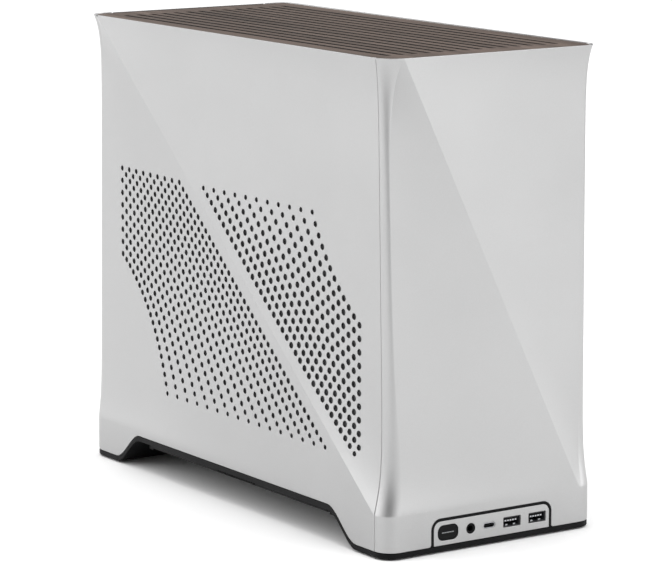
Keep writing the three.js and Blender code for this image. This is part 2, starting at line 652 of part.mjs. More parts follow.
function mainBoard() {
  const { x, thick, y0, y1, z0, z1 } = BOARD;
  const face = BOARD_FACE;
  add("motherboard", box(face, x, y0, y1, z0, z1), "board");

  const openings = (inset, from) =>
    REAR_PORTS.map(([px, pz, width, height]) => {
      const w = width / 2 - inset;
      const h = height / 2 - inset;
      return box(px - w, px + w, from, BEHIND[1], pz - h, pz + h);
    });
  const block = box(-48, face - GAP, 157, 179.6, 100, 250);
  add("rear_ports", cut(block, ...openings(0.8, 168)), "metal");
  const shield = box(IO_BAY.x0, IO_BAY.x1, 180, SHIELD_FACE, IO_BAY.z0, IO_BAY.z1);
  add("io_shield", cut(shield, ...openings(0, BEHIND[0])), "metal");

  const { y, z } = SOCKET;
  add("processor", box(face - 3.4, face - GAP, y - 19, y + 19, z - 19, z + 19), "metal");
  const base = box(face - 9, face - 3.7, y - 20, y + 20, z - 20, z + 20);
  const half = COOLER_FAN.size / 2;
  let fins = box(face - 42, face - 8.8, y - half, y + half, z - half, z + half);
  const finPitch = 6;
  for (let i = -7; i < 7; i++) {
    const low = y + i * finPitch + 1;
    fins = cut(fins, box(face - 60, face - 12, low, low + 4, z - 60, z + 60));
  }
  add("cooler_heatsink", join(base, fins), "fins");
  const turned = (body) => body.rotate([0, -90, 0]).translate([face - 42.3, y, z]);
  add("cooler_fan_frame", turned(fanFrame(COOLER_FAN)), "fan");
  add("cooler_fan_rotor", turned(fanRotor(COOLER_FAN)), "fan");

  [13, 22.5].forEach((front, i) => {
    const socket = box(face - 6, face - GAP, front - 1.2, front + 5.2, 104, 240);
    const module = box(face - 38, face - 5, front, front + 4, 106, 238);
    add(`memory_module_${i + 1}`, join(socket, module), "blackPlastic");
  });
  add("solid_state_drive", box(face - 3.2, face - GAP, 66, 146, 107, 129), "blackPlastic");
  let regulator = box(face - 20, face - GAP, 52, 148, 238, 256);
  for (let z1 = 242.5; z1 < 256; z1 += 4) {
    regulator = cut(regulator, box(face - 30, face - 6, 40, 160, z1 - 2, z1));
  }
  add("regulator_heatsink", regulator, "fins");
}

// ---------------------------------------------------------------- power supply

function powerSupply() {
  const { x0, x1, y0, y1, z0, z1 } = PSU;
  const y = (y0 + y1) / 2;
  const z = (z0 + z1) / 2;
  const fan = { ...COOLER_FAN, hub: 15, blades: 9 };
  const pocket = disc(fan.bore + 1, "x", x0 - 5, x0 + fan.thick + 1, y, z, 28);
  const plug = box(-54, -30, y - 12, y + 12, z0 - 1, z0 + 10);
  add("psu_case", cut(box(x0, x1, y0, y1, z0, z1), pocket, plug), "blackSteel");
  const rotor = fanRotor(fan).rotate([0, 90, 0]).translate([x0 - 0.5, y, z]);
  add("psu_fan_rotor", rotor, "fan");
  const guard = disc(fan.bore + 3, "x", x0 - 1.5, x0 - GAP, y, z, 24);
  const bars = [];
  for (let i = -2; i <= 2; i++) {
    const middle = z + i * 14;
    const half = Math.sqrt(42 ** 2 - (i * 14 + 6 * Math.sign(i)) ** 2);
    bars.push(box(x0 - 5, x0 + 5, y - half, y - 2, middle - 6, middle + 6));
    bars.push(box(x0 - 5, x0 + 5, y + 2, y + half, middle - 6, middle + 6));
  }
  add("psu_fan_guard", cut(guard, ...bars), "metal");

  mainsInlet();
}

function mainsInlet() {
  const { width, height } = INLET;
  const around = (px, pz, w, h, y0, y1) =>
    box(INLET.x + px - w / 2, INLET.x + px + w / 2, y0, y1, INLET.z + pz - h / 2, INLET.z + pz + h / 2);
  const flange = around(0, 0, 48, 24, 179.6, SHIELD_FACE);
  const housing = around(0, 0, width, height, 163, REAR_FACE);
  const cavity = around(0, 0, width - 4.4, height - 4.4, 167, 190);
  const pins = [[-7, -2], [0, 3], [7, -2]].map(([px, pz]) => around(px, pz, 2, 4, 165, 176));
  add("mains_inlet", join(cut(join(flange, housing), cavity), ...pins), "blackPlastic");

  // The inner lead runs from the inlet along the floor of the case and up into the power supply.
  const route = new THREE.CatmullRomCurve3(
    [
      [-36, 162.2, 69],
      [-36, 148, 68],
      [-48, 110, 60],
      [-54, 40, 57.5],
      [-54, -40, 57.5],
      [-48, -92, 66],
      [-42, -113, 95],
      [-42, -115, 125],
      [-42, -115, 145],
    ].map((p) => new THREE.Vector3(...p)),
  );
  const section = new THREE.Shape();
  section.absarc(0, 0, 3.2, 0, 2 * Math.PI);
  const options = { steps: 24, extrudePath: route, curveSegments: 4 };
  add("inlet_lead", solid(new THREE.ExtrudeGeometry(section, options)), "rubber");
}

// ---------------------------------------------------------------- graphics card

function graphicsCard() {
  const { x, thick, y0, y1, z0, z1 } = CARD;
  const tab = box(x, x + thick, 66, 144, 100, z0 + 1);
  add("graphics_board", join(box(x, x + thick, y0 + 20, y1, z0, z1 - 4), tab), "board");
  add("graphics_backplate", box(x - 2, x - 0.8, y0, y1 - 8, z0 + 3, z1), "blackSteel");

  const face = x + thick;
  let fins = box(face + 0.6, face + 21, y0 + 2, y1 - 12, z0 + 5, z1 - 2);
  for (let y = y0 + 8; y < y1 - 20; y += 12) {
    fins = cut(fins, box(face + 6, face + 40, y, y + 8, 0, 300));
  }
  add("graphics_heatsink", fins, "fins");

  const shroudLow = face + 21.3;
  const shroudHigh = face + 41;
  let shroud = box(shroudLow, shroudHigh, y0, y1 - 10, z0 + 3, z1);
  for (const y of CARD_FANS_Y) shroud = cut(shroud, disc(47.5, "x", 0, 100, y, CARD_FAN_Z, 32));
  shroud = cut(shroud, box(0, 100, y1 - 22, y1 - 15, z0 + 12, z1 - 12));
  add("graphics_shroud", shroud, "blackPlastic");
  const fan = { thick: 17, rotor: 46, hub: 15, blades: 9 };
  CARD_FANS_Y.forEach((y, i) => {
    const rotor = fanRotor(fan).rotate([0, 90, 0]).translate([shroudLow + 1, y, CARD_FAN_Z]);
    add(`graphics_fan_${i + 1}`, rotor, "fan");
  });

  const bracket = (x0, x1) => box(x0, x1, 179.7, SHIELD_FACE, z0 - 1, 227);
  const vents = [];
  for (let i = 0; i < 5; i++) vents.push(box(25, 39, ...BEHIND, 122 + i * 20, 134 + i * 20));
  for (let i = 0; i < 3; i++) vents.push(box(9, 15, ...BEHIND, 122 + i * 30, 140 + i * 30));
  add("graphics_bracket", cut(bracket(2.6, 41.6), ...vents), "metal");
  add("slot_cover", bracket(43.4, 61.8), "blackSteel");

  const socket = box(x - 3, face + 3, 62, 148, 96, 107.2);
  add("riser_slot", cut(socket, box(x - GAP, face + GAP, 65.5, 144.5, 99.6, 120)), "blackPlastic");
  const ribbon = polygon([
    [-24, 104], [-24, 83], [10.4, 83], [10.4, 95.6], [7.4, 95.6], [7.4, 86],
    [-21, 86], [-21, 97], [-8.5, 97], [-8.5, 104],
  ]);
  add("riser_cable", prism(ribbon, "y", 64, 146), "blackPlastic");
}

frontPanel();
sidePanels();
rearPanel();
topGrille();
baseTray();
dustFilter();
frontPorts();
steelFrame();
caseFans();
mainBoard();
powerSupply();
graphicsCard();

export default computer;
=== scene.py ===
import json
import math

import bmesh
import bpy
import numpy as np
from mathutils import Matrix, Vector
from mathutils.geometry import delaunay_2d_cdt


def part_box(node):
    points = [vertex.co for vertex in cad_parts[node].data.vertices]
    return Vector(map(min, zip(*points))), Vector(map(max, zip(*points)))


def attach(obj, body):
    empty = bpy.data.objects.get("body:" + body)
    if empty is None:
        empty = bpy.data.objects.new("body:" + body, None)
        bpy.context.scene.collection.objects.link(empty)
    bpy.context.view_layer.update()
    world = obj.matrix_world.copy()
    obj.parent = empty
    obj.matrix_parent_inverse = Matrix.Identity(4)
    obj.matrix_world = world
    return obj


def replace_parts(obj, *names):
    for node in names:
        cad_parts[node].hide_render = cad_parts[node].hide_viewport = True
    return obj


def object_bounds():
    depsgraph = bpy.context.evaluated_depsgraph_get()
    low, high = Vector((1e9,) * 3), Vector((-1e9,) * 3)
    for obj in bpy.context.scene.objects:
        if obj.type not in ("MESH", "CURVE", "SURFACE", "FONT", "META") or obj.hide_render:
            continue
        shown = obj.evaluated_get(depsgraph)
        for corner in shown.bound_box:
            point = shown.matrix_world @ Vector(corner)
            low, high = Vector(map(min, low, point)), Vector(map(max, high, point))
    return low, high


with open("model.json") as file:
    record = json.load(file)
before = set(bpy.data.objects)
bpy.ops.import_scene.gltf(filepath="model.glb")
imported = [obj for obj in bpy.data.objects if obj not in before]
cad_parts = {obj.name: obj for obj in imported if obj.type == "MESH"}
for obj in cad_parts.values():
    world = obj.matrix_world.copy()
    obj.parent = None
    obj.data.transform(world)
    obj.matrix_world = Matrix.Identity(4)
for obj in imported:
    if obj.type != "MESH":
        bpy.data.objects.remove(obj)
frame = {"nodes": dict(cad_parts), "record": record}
cad_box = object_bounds()

# Shapes are worked out in millimetres in the part's own frame, and meshes are made in metres.
MM = 1000.0
HALF_WIDTH, HALF_DEPTH, HEIGHT = (round(v * MM, 2) for v in cad_box[1])
SKIN = 1.2  # thickness of the aluminium sheet
GAP = 0.3  # clearance between neighbouring pieces
BAND = 28.0  # top of the straight band that runs round the bottom of the case
CORNER = 12.0  # radius of the rear vertical corners
SEAM = HALF_DEPTH - CORNER  # where the side panels meet the front
PRESS = 6.5  # deepest that a face is pressed in at its side edges
SKIRT = 4.8  # height of the aluminium's lower edge over the feet
FLANGE_END = 64.0  # half width of the opening that the rear panel closes
REAR_FACE = HALF_DEPTH - GAP
ARCH = {"flat": 118.0, "foot": 150.0, "top": 24.7, "lip": 4.0}


def box_mm(node):
    """Lowest and highest corner of a CAD node, in millimetres."""
    low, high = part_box(node)
    return np.array(low) * MM, np.array(high) * MM


# ------------------------------------------------------------------ shape of the case


def rise(distance, length, power=1.0):
    return 1 - np.exp(-((np.maximum(distance, 0) / length) ** power))


def press_left(z):
    """How far a face is pressed in at its left edge, seen from outside."""
    fade = 1 - 0.68 * (HEIGHT - z) / (HEIGHT - BAND)
    return PRESS * fade * rise(HEIGHT - z, 13) * rise(z - BAND, 14, 1.3)


def press_right(z):
    fade = 1 - 0.68 * (z - BAND) / (HEIGHT - BAND)
    return PRESS * fade * rise(z - BAND, 20, 1.2) * rise(HEIGHT - z, 13)


def creased_corner(z):
    """Width in X of the rounding between the left side and the front."""
    return 3.2 + 9.8 * (1 - rise(HEIGHT - z, 22)) + 8.4 * (1 - rise(z - BAND, 60, 1.5))


def soft_corner(z):
    return 6 + 7 * (1 - rise(HEIGHT - z, 16)) + 5.6 * (1 - rise(z - BAND, 30))


def crease_place(z):
    """Where a face's crease is at height z: -1 at its top left and 1 at its bottom right."""
    return np.clip(1 - 2 * (z - BAND) / (HEIGHT - BAND), -0.995, 0.995)


def ease(t):
    return t * t * (3 - 2 * t)


def arch_curve(drop, steps=14):
    """The arch's edge from the front foot to the rear foot, as (y, z) points."""
    t = np.linspace(0, 1, steps)
    y = -ARCH["foot"] + (ARCH["foot"] - ARCH["flat"]) * t
    z = SKIRT - drop + (ARCH["top"] - SKIRT) * ease(t)
    front = np.stack([y, z], 1)
    return np.concatenate([front, front[::-1] * [-1, 1]])


CORNER_LENGTH = CORNER * math.pi / 2  # length of a rear corner in a panel's flat pattern
FLANGE = HALF_WIDTH - CORNER - FLANGE_END


def side_place(side):
    """Maps a side panel's flat pattern to space: a runs back along the side, round the rear
    corner and across the rear flange. side is -1 for the left panel and 1 for the right."""

    def place(a, z, inset):
        rear, front = (press_left(z), press_right(z))[::-side]
        crease = side * 170.6 * crease_place(z)
        y = np.minimum(a, SEAM)
        behind = rear * (y - crease) / (SEAM - crease)
        before = front * (crease - y) / (crease + SEAM)
        pressed = np.where(y > crease, behind, before)
        turn = np.clip((a - SEAM) / CORNER_LENGTH, 0, 1) * math.pi / 2
        past = np.maximum(a - SEAM - CORNER_LENGTH, 0) / FLANGE
        centre = HALF_WIDTH - rear - CORNER
        on_face = HALF_WIDTH - pressed - inset
        on_corner = centre + (CORNER - inset) * np.cos(turn) + (FLANGE_END - centre) * past
        x = np.where(a <= SEAM, on_face, on_corner)
        y = np.where(a <= SEAM, y, SEAM + (CORNER - inset) * np.sin(turn))
        return np.stack([side * x, y, z], -1)

    return place


FACE = HALF_WIDTH - CORNER  # half length of the front's face in its flat pattern


def front_ends(z):
    """The front face's ends in X at height z, beside its two corners, and its crease."""
    left = -HALF_WIDTH + press_right(z) + creased_corner(z)
    right = HALF_WIDTH - press_left(z) - soft_corner(z)
    return left, right, 70 * crease_place(z)


def front_place(a, z, inset):
    """Maps the front panel's flat pattern to space: round the left corner, across, round the right."""
    left, right, crease = front_ends(z)
    x = left + (np.clip(a, -FACE, FACE) + FACE) / (2 * FACE) * (right - left)
    pressed = np.where(
        x < crease,
        press_left(z) * (crease - x) / (crease - left),
        press_right(z) * (x - crease) / (right - crease),
    )
    turn = np.clip((np.abs(a) - FACE) / CORNER_LENGTH, 0, 1) * math.pi / 2
    width = np.where(a < 0, creased_corner(z), soft_corner(z)) - inset
    depth = CORNER - np.where(a < 0, press_left(z), press_right(z)) - inset
    end = np.where(a < 0, left, right)
    x = np.where(np.abs(a) > FACE, end + np.sign(a) * width * np.sin(turn), x)
    y = np.where(np.abs(a) > FACE, -SEAM - depth * np.cos(turn), -HALF_DEPTH + pressed + inset)
    return np.stack([x, y, z], -1)


def front_pattern_x(x, z):
    """The flat pattern's coordinate of a point of the front face."""
    left, right, _ = front_ends(z)
    return -FACE + 2 * FACE * (x - left) / (right - left)


def flat_place(axis, face, outward):
    """Maps a flat pattern to a plane across an axis, at face, with the inset away from outward."""
    others = [i for i in range(3) if i != axis]

    def place(a, b, inset):
        point = np.zeros(np.shape(a) + (3,))
        point[..., others[0]] = a
        point[..., others[1]] = b
        point[..., axis] = face - outward * inset
        return point

    return place


# ------------------------------------------------------------------ loops and meshes


def circle(a, b, radius, sides=24):
    turn = np.arange(sides) * 2 * math.pi / sides
    return np.stack([a + radius * np.cos(turn), b + radius * np.sin(turn)], 1)


def rounded(a, b, width, height, radius, steps=6):
    """A rectangle with rounded corners as a counter-clockwise loop."""
    w, h = width / 2 - radius, height / 2 - radius
    turn = np.linspace(0, math.pi / 2, steps)
    points = []
    for quarter, (u, v) in enumerate([(w, h), (-w, h), (-w, -h), (w, -h)]):
        angle = turn + quarter * math.pi / 2
        points += list(zip(a + u + radius * np.cos(angle), b + v + radius * np.sin(angle)))
    return np.array(points)


def refine(loop, longest):
    """Splits a closed loop's long edges."""
    points = []
    for p, q in zip(loop, np.roll(loop, -1, 0)):
        count = max(1, math.ceil(np.linalg.norm(q - p) / longest))
        points += [p + (q - p) * i / count for i in range(count)]
    return np.array(points)


def loop_normals(loop):
    """Vectors out of a counter-clockwise loop at its points, long enough to offset it by one."""
    edge = np.roll(loop, -1, 0) - loop
    out = np.stack([edge[:, 1], -edge[:, 0]], 1)
    out /= np.linalg.norm(out, axis=1)[:, None]
    both = out + np.roll(out, 1, 0)
    both /= np.linalg.norm(both, axis=1)[:, None]
    return both / np.maximum(np.sum(both * out, 1), 0.5)[:, None]


def inside(loop, points):
    """Which of the points lie inside a closed loop."""
    a, b = loop, np.roll(loop, -1, 0)
    found = np.zeros(len(points), bool)
    for (x0, y0), (x1, y1) in zip(a, b):
        if y0 == y1:
            continue
        spans = (points[:, 1] > min(y0, y1)) & (points[:, 1] <= max(y0, y1))
        cross = x0 + (points[:, 1] - y0) / (y1 - y0) * (x1 - x0)
        found ^= spans & (points[:, 0] < cross)
    return found


def add_mesh(name, points, faces, body, material, normals=None, smooth=True):
    """A mesh object, from points in millimetres, riding on a body."""
    mesh = bpy.data.meshes.new(name)
    mesh.from_pydata((np.asarray(points) / MM).tolist(), [], [list(map(int, f)) for f in faces])
    mesh.validate()
    if smooth:
        mesh.shade_smooth()
    if normals is not None:
        mesh.normals_split_custom_set([tuple(n) for n in normals])
    made = bpy.data.objects.new(name, mesh)
    bpy.context.scene.collection.objects.link(made)
    mesh.materials.append(material)
    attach(made, body)
    return made


def triangulate(loops, lines, points):
    """Triangles of flat points. loops are closed rows of point numbers and lines open ones."""
    edges = [e for loop in loops for e in zip(loop, np.roll(loop, -1))]
    edges += [e for line in lines for e in zip(line[:-1], line[1:])]
    edges = [tuple(map(int, e)) for e in edges]
    co = [Vector(p) for p in points]
    verts, _, faces, origin, _, _ = delaunay_2d_cdt(co, edges, [], 0, 1e-5, True)
    number = np.array([o[0] if o else -1 for o in origin])
    faces = np.array([f for f in faces if len(f) == 3])
    triangles = number[faces]
    triangles = triangles[(triangles >= 0).all(1)]
    p = np.asarray(points)[triangles]
    area = np.cross(p[:, 1] - p[:, 0], p[:, 2] - p[:, 0])
    triangles[area < 0] = triangles[area < 0][:, ::-1]
    return triangles[np.abs(area) > 1e-9]


# Rounding of a sheet's edges: share of the radius along the sheet and into it, and the angle
# that the surface has turned there.
FINE_EDGE = [(0.0, 0.75, 70), (0.35, 0.25, 35), (1.0, 0.0, 0)]
HOLE_EDGE = [(0.0, 0.6, 50), (1.0, 0.0, 0)]


def add_sheet(name, outline, holes, place, depth, body, material, slot, **options):
    """A sheet with holes. outline and the holes are counter-clockwise loops of its flat pattern,
    place(a, b, inset) puts a point of the pattern in space, and depth is the thickness.
    Options: lines, open rows of points to follow, such as a crease; fill, points inside;
    edge and hole_edge, the radius of the outer edges there."""
    lines = options.get("lines", [])
    fill = np.asarray(options.get("fill", np.zeros((0, 2)))).reshape(-1, 2)
    edge, hole_edge = options.get("edge", 0.35), options.get("hole_edge", 0.25)
    hole_profile = options.get("hole_profile", HOLE_EDGE)

    flat, inset, bend, away, loops, owner = [], [], [], [], [], []
    count = 0
    for number, loop in enumerate([outline, *holes]):
        out = loop_normals(loop) * (1 if number == 0 else -1)
        profile, radius = (FINE_EDGE, edge) if number == 0 else (hole_profile, hole_edge)
        levels = []
        for along, down, angle in profile:
            flat.append(loop - out * along * radius)
            inset.append(np.full(len(loop), down * radius))
            bend.append(np.full(len(loop), math.radians(angle)))
            away.append(out / np.linalg.norm(out, axis=1)[:, None])
            owner.append(np.full(len(loop), number if along == 0 else -1))
            levels.append(np.arange(count, count + len(loop)))
            count += len(loop)
        loops.append(levels)
    rims = np.concatenate([levels[0] for levels in loops])

    extra = [np.asarray(line) for line in lines] + [fill]
    line_numbers = []
    for points in extra:
        line_numbers.append(np.arange(count, count + len(points)))
        flat.append(points)
        inset.append(np.zeros(len(points)))
        bend.append(np.zeros(len(points)))
        away.append(np.tile([1.0, 0.0], (len(points), 1)))
        owner.append(np.full(len(points), -1))
        count += len(points)
    flat, inset, bend, away, owner = map(np.concatenate, (flat, inset, bend, away, owner))
    line_numbers = line_numbers[:-1]

    def keep(triangles):
        own = owner[triangles]
        in_hole = (own[:, 0] > 0) & (own[:, 0] == own[:, 1]) & (own[:, 1] == own[:, 2])
        return triangles[~in_hole & inside(outline, flat[triangles].mean(1))]

    outer = keep(triangulate([level for levels in loops for level in levels], line_numbers, flat))
    on_back = np.concatenate([rims, *line_numbers, np.arange(count - len(fill), count)])
    back_of = np.full(count, -1)
    back_of[on_back] = np.arange(len(on_back))
    back_loops = [back_of[levels[0]] for levels in loops]
    back = triangulate(back_loops, [back_of[n] for n in line_numbers], flat[on_back])
    back = keep(on_back[back])

    front_points = place(flat[:, 0], flat[:, 1], inset)
    back_points = place(flat[on_back, 0], flat[on_back, 1], depth)
    facing = front_points[on_back].mean(0) - back_points.mean(0)
    p = front_points[outer]
    flip = np.sum(np.cross(p[:, 1] - p[:, 0], p[:, 2] - p[:, 0]).sum(0) * facing) < 0
    sign = -1.0 if flip else 1.0

    step = 0.02

    def slope(at, direction):
        ahead = place(*(at + direction * step).T, 0.0)
        return ahead - place(*(at - direction * step).T, 0.0)

    def corner_normals(triangles):
        """The smooth surface's normals at the triangles' corners, each taken on its own side of a fold."""
        corner = flat[triangles]
        towards = corner.mean(1, keepdims=True) - corner
        towards /= np.linalg.norm(towards, axis=2, keepdims=True)
        at = (corner + towards * 3 * step).reshape(-1, 2)
        normal = sign * np.cross(slope(at, np.array([1.0, 0.0])), slope(at, np.array([0.0, 1.0])))
        return normal / np.linalg.norm(normal, axis=1)[:, None]

    sideways = slope(flat - away * 2 * step, away)
    sideways /= np.linalg.norm(sideways, axis=1)[:, None]
    face_normals = corner_normals(outer)
    tilt = bend[outer.ravel()][:, None]
    face_normals = face_normals * np.cos(tilt) + sideways[outer.ravel()] * np.sin(tilt)

    walls, wall_normals = [], []
    for levels in loops:
        rim = levels[0]
        for i, j in zip(rim, np.roll(rim, -1)):
            walls.append((i, j, back_of[j] + count, back_of[i] + count))
            wall_normals.append(sideways[[i, j, j, i]])
    wall_normals = np.array(wall_normals)
    walls = np.array(walls)
    hole_side = np.array([n > 0 for n, levels in enumerate(loops) for _ in levels[0]])
    reverse = ~hole_side ^ flip
    walls[reverse] = walls[reverse][:, [3, 2, 1, 0]]
    wall_normals[reverse] = wall_normals[reverse][:, [3, 2, 1, 0]]

    back_faces = back_of[back][:, ::-1] + count
    back_normals = -corner_normals(back).reshape(-1, 3, 3)[:, ::-1].reshape(-1, 3)
    outer_normals = face_normals.reshape(-1, 3, 3)
    if flip:
        outer, outer_normals = outer[:, ::-1], outer_normals[:, ::-1]
        back_faces = back_faces[:, ::-1]
        back_normals = back_normals.reshape(-1, 3, 3)[:, ::-1].reshape(-1, 3)
    faces = [*outer.tolist(), *back_faces.tolist(), *walls.tolist()]
    normals = np.concatenate([outer_normals.reshape(-1, 3), back_normals, wall_normals.reshape(-1, 3)])
    points = np.concatenate([front_points, back_points])
    return add_mesh(name, points, faces, body, material, normals)


def prism(loop, axis, low, high):
    """A closed prism along an axis as (points, faces): the loop is in the other two coordinates."""
    count = len(loop)
    others = [i for i in range(3) if i != axis]
    points = np.zeros((2 * count, 3))
    points[:, others[0]] = np.tile(loop[:, 0], 2)
    points[:, others[1]] = np.tile(loop[:, 1], 2)
    points[:count, axis], points[count:, axis] = low, high
    ends = [list(range(count))[::-1], list(range(count, 2 * count))]
    walls = [[i, (i + 1) % count, count + (i + 1) % count, count + i] for i in range(count)]
    faces = ends + walls
    if axis == 1:
        faces = [face[::-1] for face in faces]
    return points, faces


def block(x0, x1, y0, y1, z0, z1):
    return prism(np.array([[x0, y0], [x1, y0], [x1, y1], [x0, y1]]), 2, z0, z1)


def lathe(profile, axis, centre, steps=32):
    """A turned solid as (points, faces). profile is rows of (radius, place along the axis) that
    start and end on the axis; centre is where the axis stands in the other two coordinates."""
    others = [i for i in range(3) if i != axis]
    turn = np.arange(steps) * 2 * math.pi / steps
    points, rings = [], []
    for radius, along in profile:
        ring = []
        for t in turn if radius > 0 else turn[:1]:
            point = [0.0, 0.0, 0.0]
            point[others[0]] = centre[0] + radius * math.cos(t)
            point[others[1]] = centre[1] + radius * math.sin(t)
            point[axis] = along
            ring.append(len(points))
            points.append(point)
        rings.append(ring)
    faces = []
    for lower, upper in zip(rings[:-1], rings[1:]):
        for i in range(steps):
            j = (i + 1) % steps
            face = [lower[i % len(lower)], lower[j % len(lower)], upper[j % len(upper)], upper[i % len(upper)]]
            faces.append(list(dict.fromkeys(face)))
    return np.array(points), faces


def merged(*solids):
    """Several solids as one (points, faces)."""
    points, faces, count = [], [], 0
    for more, sides in solids:
        points.append(np.asarray(more))
        faces += [[i + count for i in face] for face in sides]
        count += len(more)
    return np.concatenate(points), faces


def rough_object(solid):
    """A temporary object for a boolean, with its faces turned outward."""
    mesh = bpy.data.meshes.new("tool")
    mesh.from_pydata(np.asarray(solid[0]).tolist(), [], [list(map(int, f)) for f in solid[1]])
    shape = bmesh.new()
    shape.from_mesh(mesh)
    bmesh.ops.recalc_face_normals(shape, faces=shape.faces)
    shape.to_mesh(mesh)
    shape.free()
    made = bpy.data.objects.new("tool", mesh)
    bpy.context.scene.collection.objects.link(made)
    return made


def carved(body, *steps):
    """A solid after boolean steps, each (operation, solid)."""
    base = rough_object(body)
    tools = []
    for operation, solid in steps:
        tool = rough_object(solid)
        tools.append(tool)
        modifier = base.modifiers.new(operation, "BOOLEAN")
        modifier.operation, modifier.object, modifier.solver = operation, tool, "EXACT"
        modifier.use_self = True
    mesh = base.evaluated_get(bpy.context.evaluated_depsgraph_get()).to_mesh()
    points = np.array([v.co for v in mesh.vertices])
    faces = [list(polygon.vertices) for polygon in mesh.polygons]
    for made in [base, *tools]:
        bpy.data.objects.remove(made)
    return points, faces


def cut(body, *tools):
    return carved(body, *[("DIFFERENCE", tool) for tool in tools])


def add_solid(name, solid, body, slot, bevel=0.3, replaces=(), material=None, angle=35):
    """A piece from a solid, with rounded edges."""
    made = add_mesh(name, solid[0], solid[1], body, material or MATERIAL[slot])
    shape = bmesh.new()
    shape.from_mesh(made.data)
    bmesh.ops.remove_doubles(shape, verts=shape.verts, dist=1e-7)
    bmesh.ops.dissolve_limit(shape, angle_limit=math.radians(0.5), verts=shape.verts, edges=shape.edges)
    bmesh.ops.recalc_face_normals(shape, faces=shape.faces)
    shape.to_mesh(made.data)
    shape.free()
    made.data.set_sharp_from_angle(angle=math.radians(angle))
    if bevel:
        soften(made, bevel, angle)
    if replaces:
        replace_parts(made, *replaces)
    return made


def soften(made, width, angle=35):
    rounding = made.modifiers.new("rounded_edges", "BEVEL")
    rounding.width = width / MM
    rounding.segments = 2
    rounding.limit_method = "ANGLE"
    rounding.angle_limit = math.radians(angle)
    rounding.use_clamp_overlap = True
    rounding.harden_normals = True


# ------------------------------------------------------------------ materials


class Shader:
    """A material with a Principled shader, and short ways to add the nodes that feed it."""

    def __init__(self, name, color, roughness, **sockets):
        self.material = bpy.data.materials.new(name)
        self.material.use_nodes = True
        self.tree = self.material.node_tree
        self.shader = self.tree.nodes["Principled BSDF"]
        self.set(self.shader, {"Base Color": (*color, 1), "Roughness": roughness, **sockets})
        self.color = color
        self.place = self.node("ShaderNodeTexCoord").outputs["Object"]

    def node(self, kind, inputs=None, **attributes):
        made = self.tree.nodes.new(kind)
        for key, value in attributes.items():
            setattr(made, key, value)
        self.set(made, inputs or {})
        return made

    def set(self, node, inputs):
        for key, value in inputs.items():
            if isinstance(value, bpy.types.NodeSocket):
                self.tree.links.new(value, node.inputs[key])
            else:
                node.inputs[key].default_value = value

    def stretched(self, scale, offset=(0, 0, 0)):
        made = self.node("ShaderNodeMapping", {"Vector": self.place, "Scale": scale, "Location": offset})
        return made.outputs["Vector"]

    def noise(self, scale, detail=3, place=None, rough=0.5):
        inputs = {"Vector": place or self.place, "Scale": scale, "Detail": detail, "Roughness": rough}
        return self.node("ShaderNodeTexNoise", inputs).outputs["Fac"]

    def fit(self, value, low, high, start=0.3, end=0.7):
        """Stretches the values from start to end over low to high."""
        inputs = {"Value": value, "From Min": start, "From Max": end, "To Min": low, "To Max": high}
        return self.node("ShaderNodeMapRange", inputs).outputs["Result"]

    def ramp(self, factor, *stops):
        made = self.node("ShaderNodeValToRGB", {"Fac": factor})
        elements = made.color_ramp.elements
        while len(elements) < len(stops):
            elements.new(0.5)
        for element, (position, color) in zip(elements, stops):
            element.position = position
            element.color = (*color, 1)
        return made.outputs["Color"]

    def math(self, operation, a, b=0.0):
        return self.node("ShaderNodeMath", {0: a, 1: b}, operation=operation).outputs[0]

    def bump(self, height, strength, distance, under=None):
        inputs = {"Height": height, "Strength": strength, "Distance": distance}
        made = self.node("ShaderNodeBump", inputs)
        if under:
            self.set(made, {"Normal": under})
        return made.outputs["Normal"]

    def finish(self, **inputs):
        self.set(self.shader, {key.replace("_", " "): value for key, value in inputs.items()})
        return self.material


def shade(color, factor):
    return tuple(min(1.0, c * factor) for c in color)


def grained(name, color, roughness, grain, depth, spread=0.06, swing=0.05, patch=9.0, **sockets):
    """A finish with a fine grain in its surface and slow changes of colour and gloss.
    grain is the grain's frequency per metre and depth its height in metres."""
    made = Shader(name, color, roughness, **sockets)
    slow = made.noise(patch, 3)
    fine = made.noise(grain, 2)
    tone = made.math("ADD", made.math("MULTIPLY", slow, 0.6), made.math("MULTIPLY", fine, 0.4))
    base = made.ramp(tone, (0.35, shade(color, 1 - spread)), (0.65, shade(color, 1 + spread)))
    gloss = made.fit(made.noise(patch * 4, 4), roughness - swing, roughness + swing)
    return made.finish(Base_Color=base, Roughness=gloss, Normal=made.bump(fine, 0.5, depth))


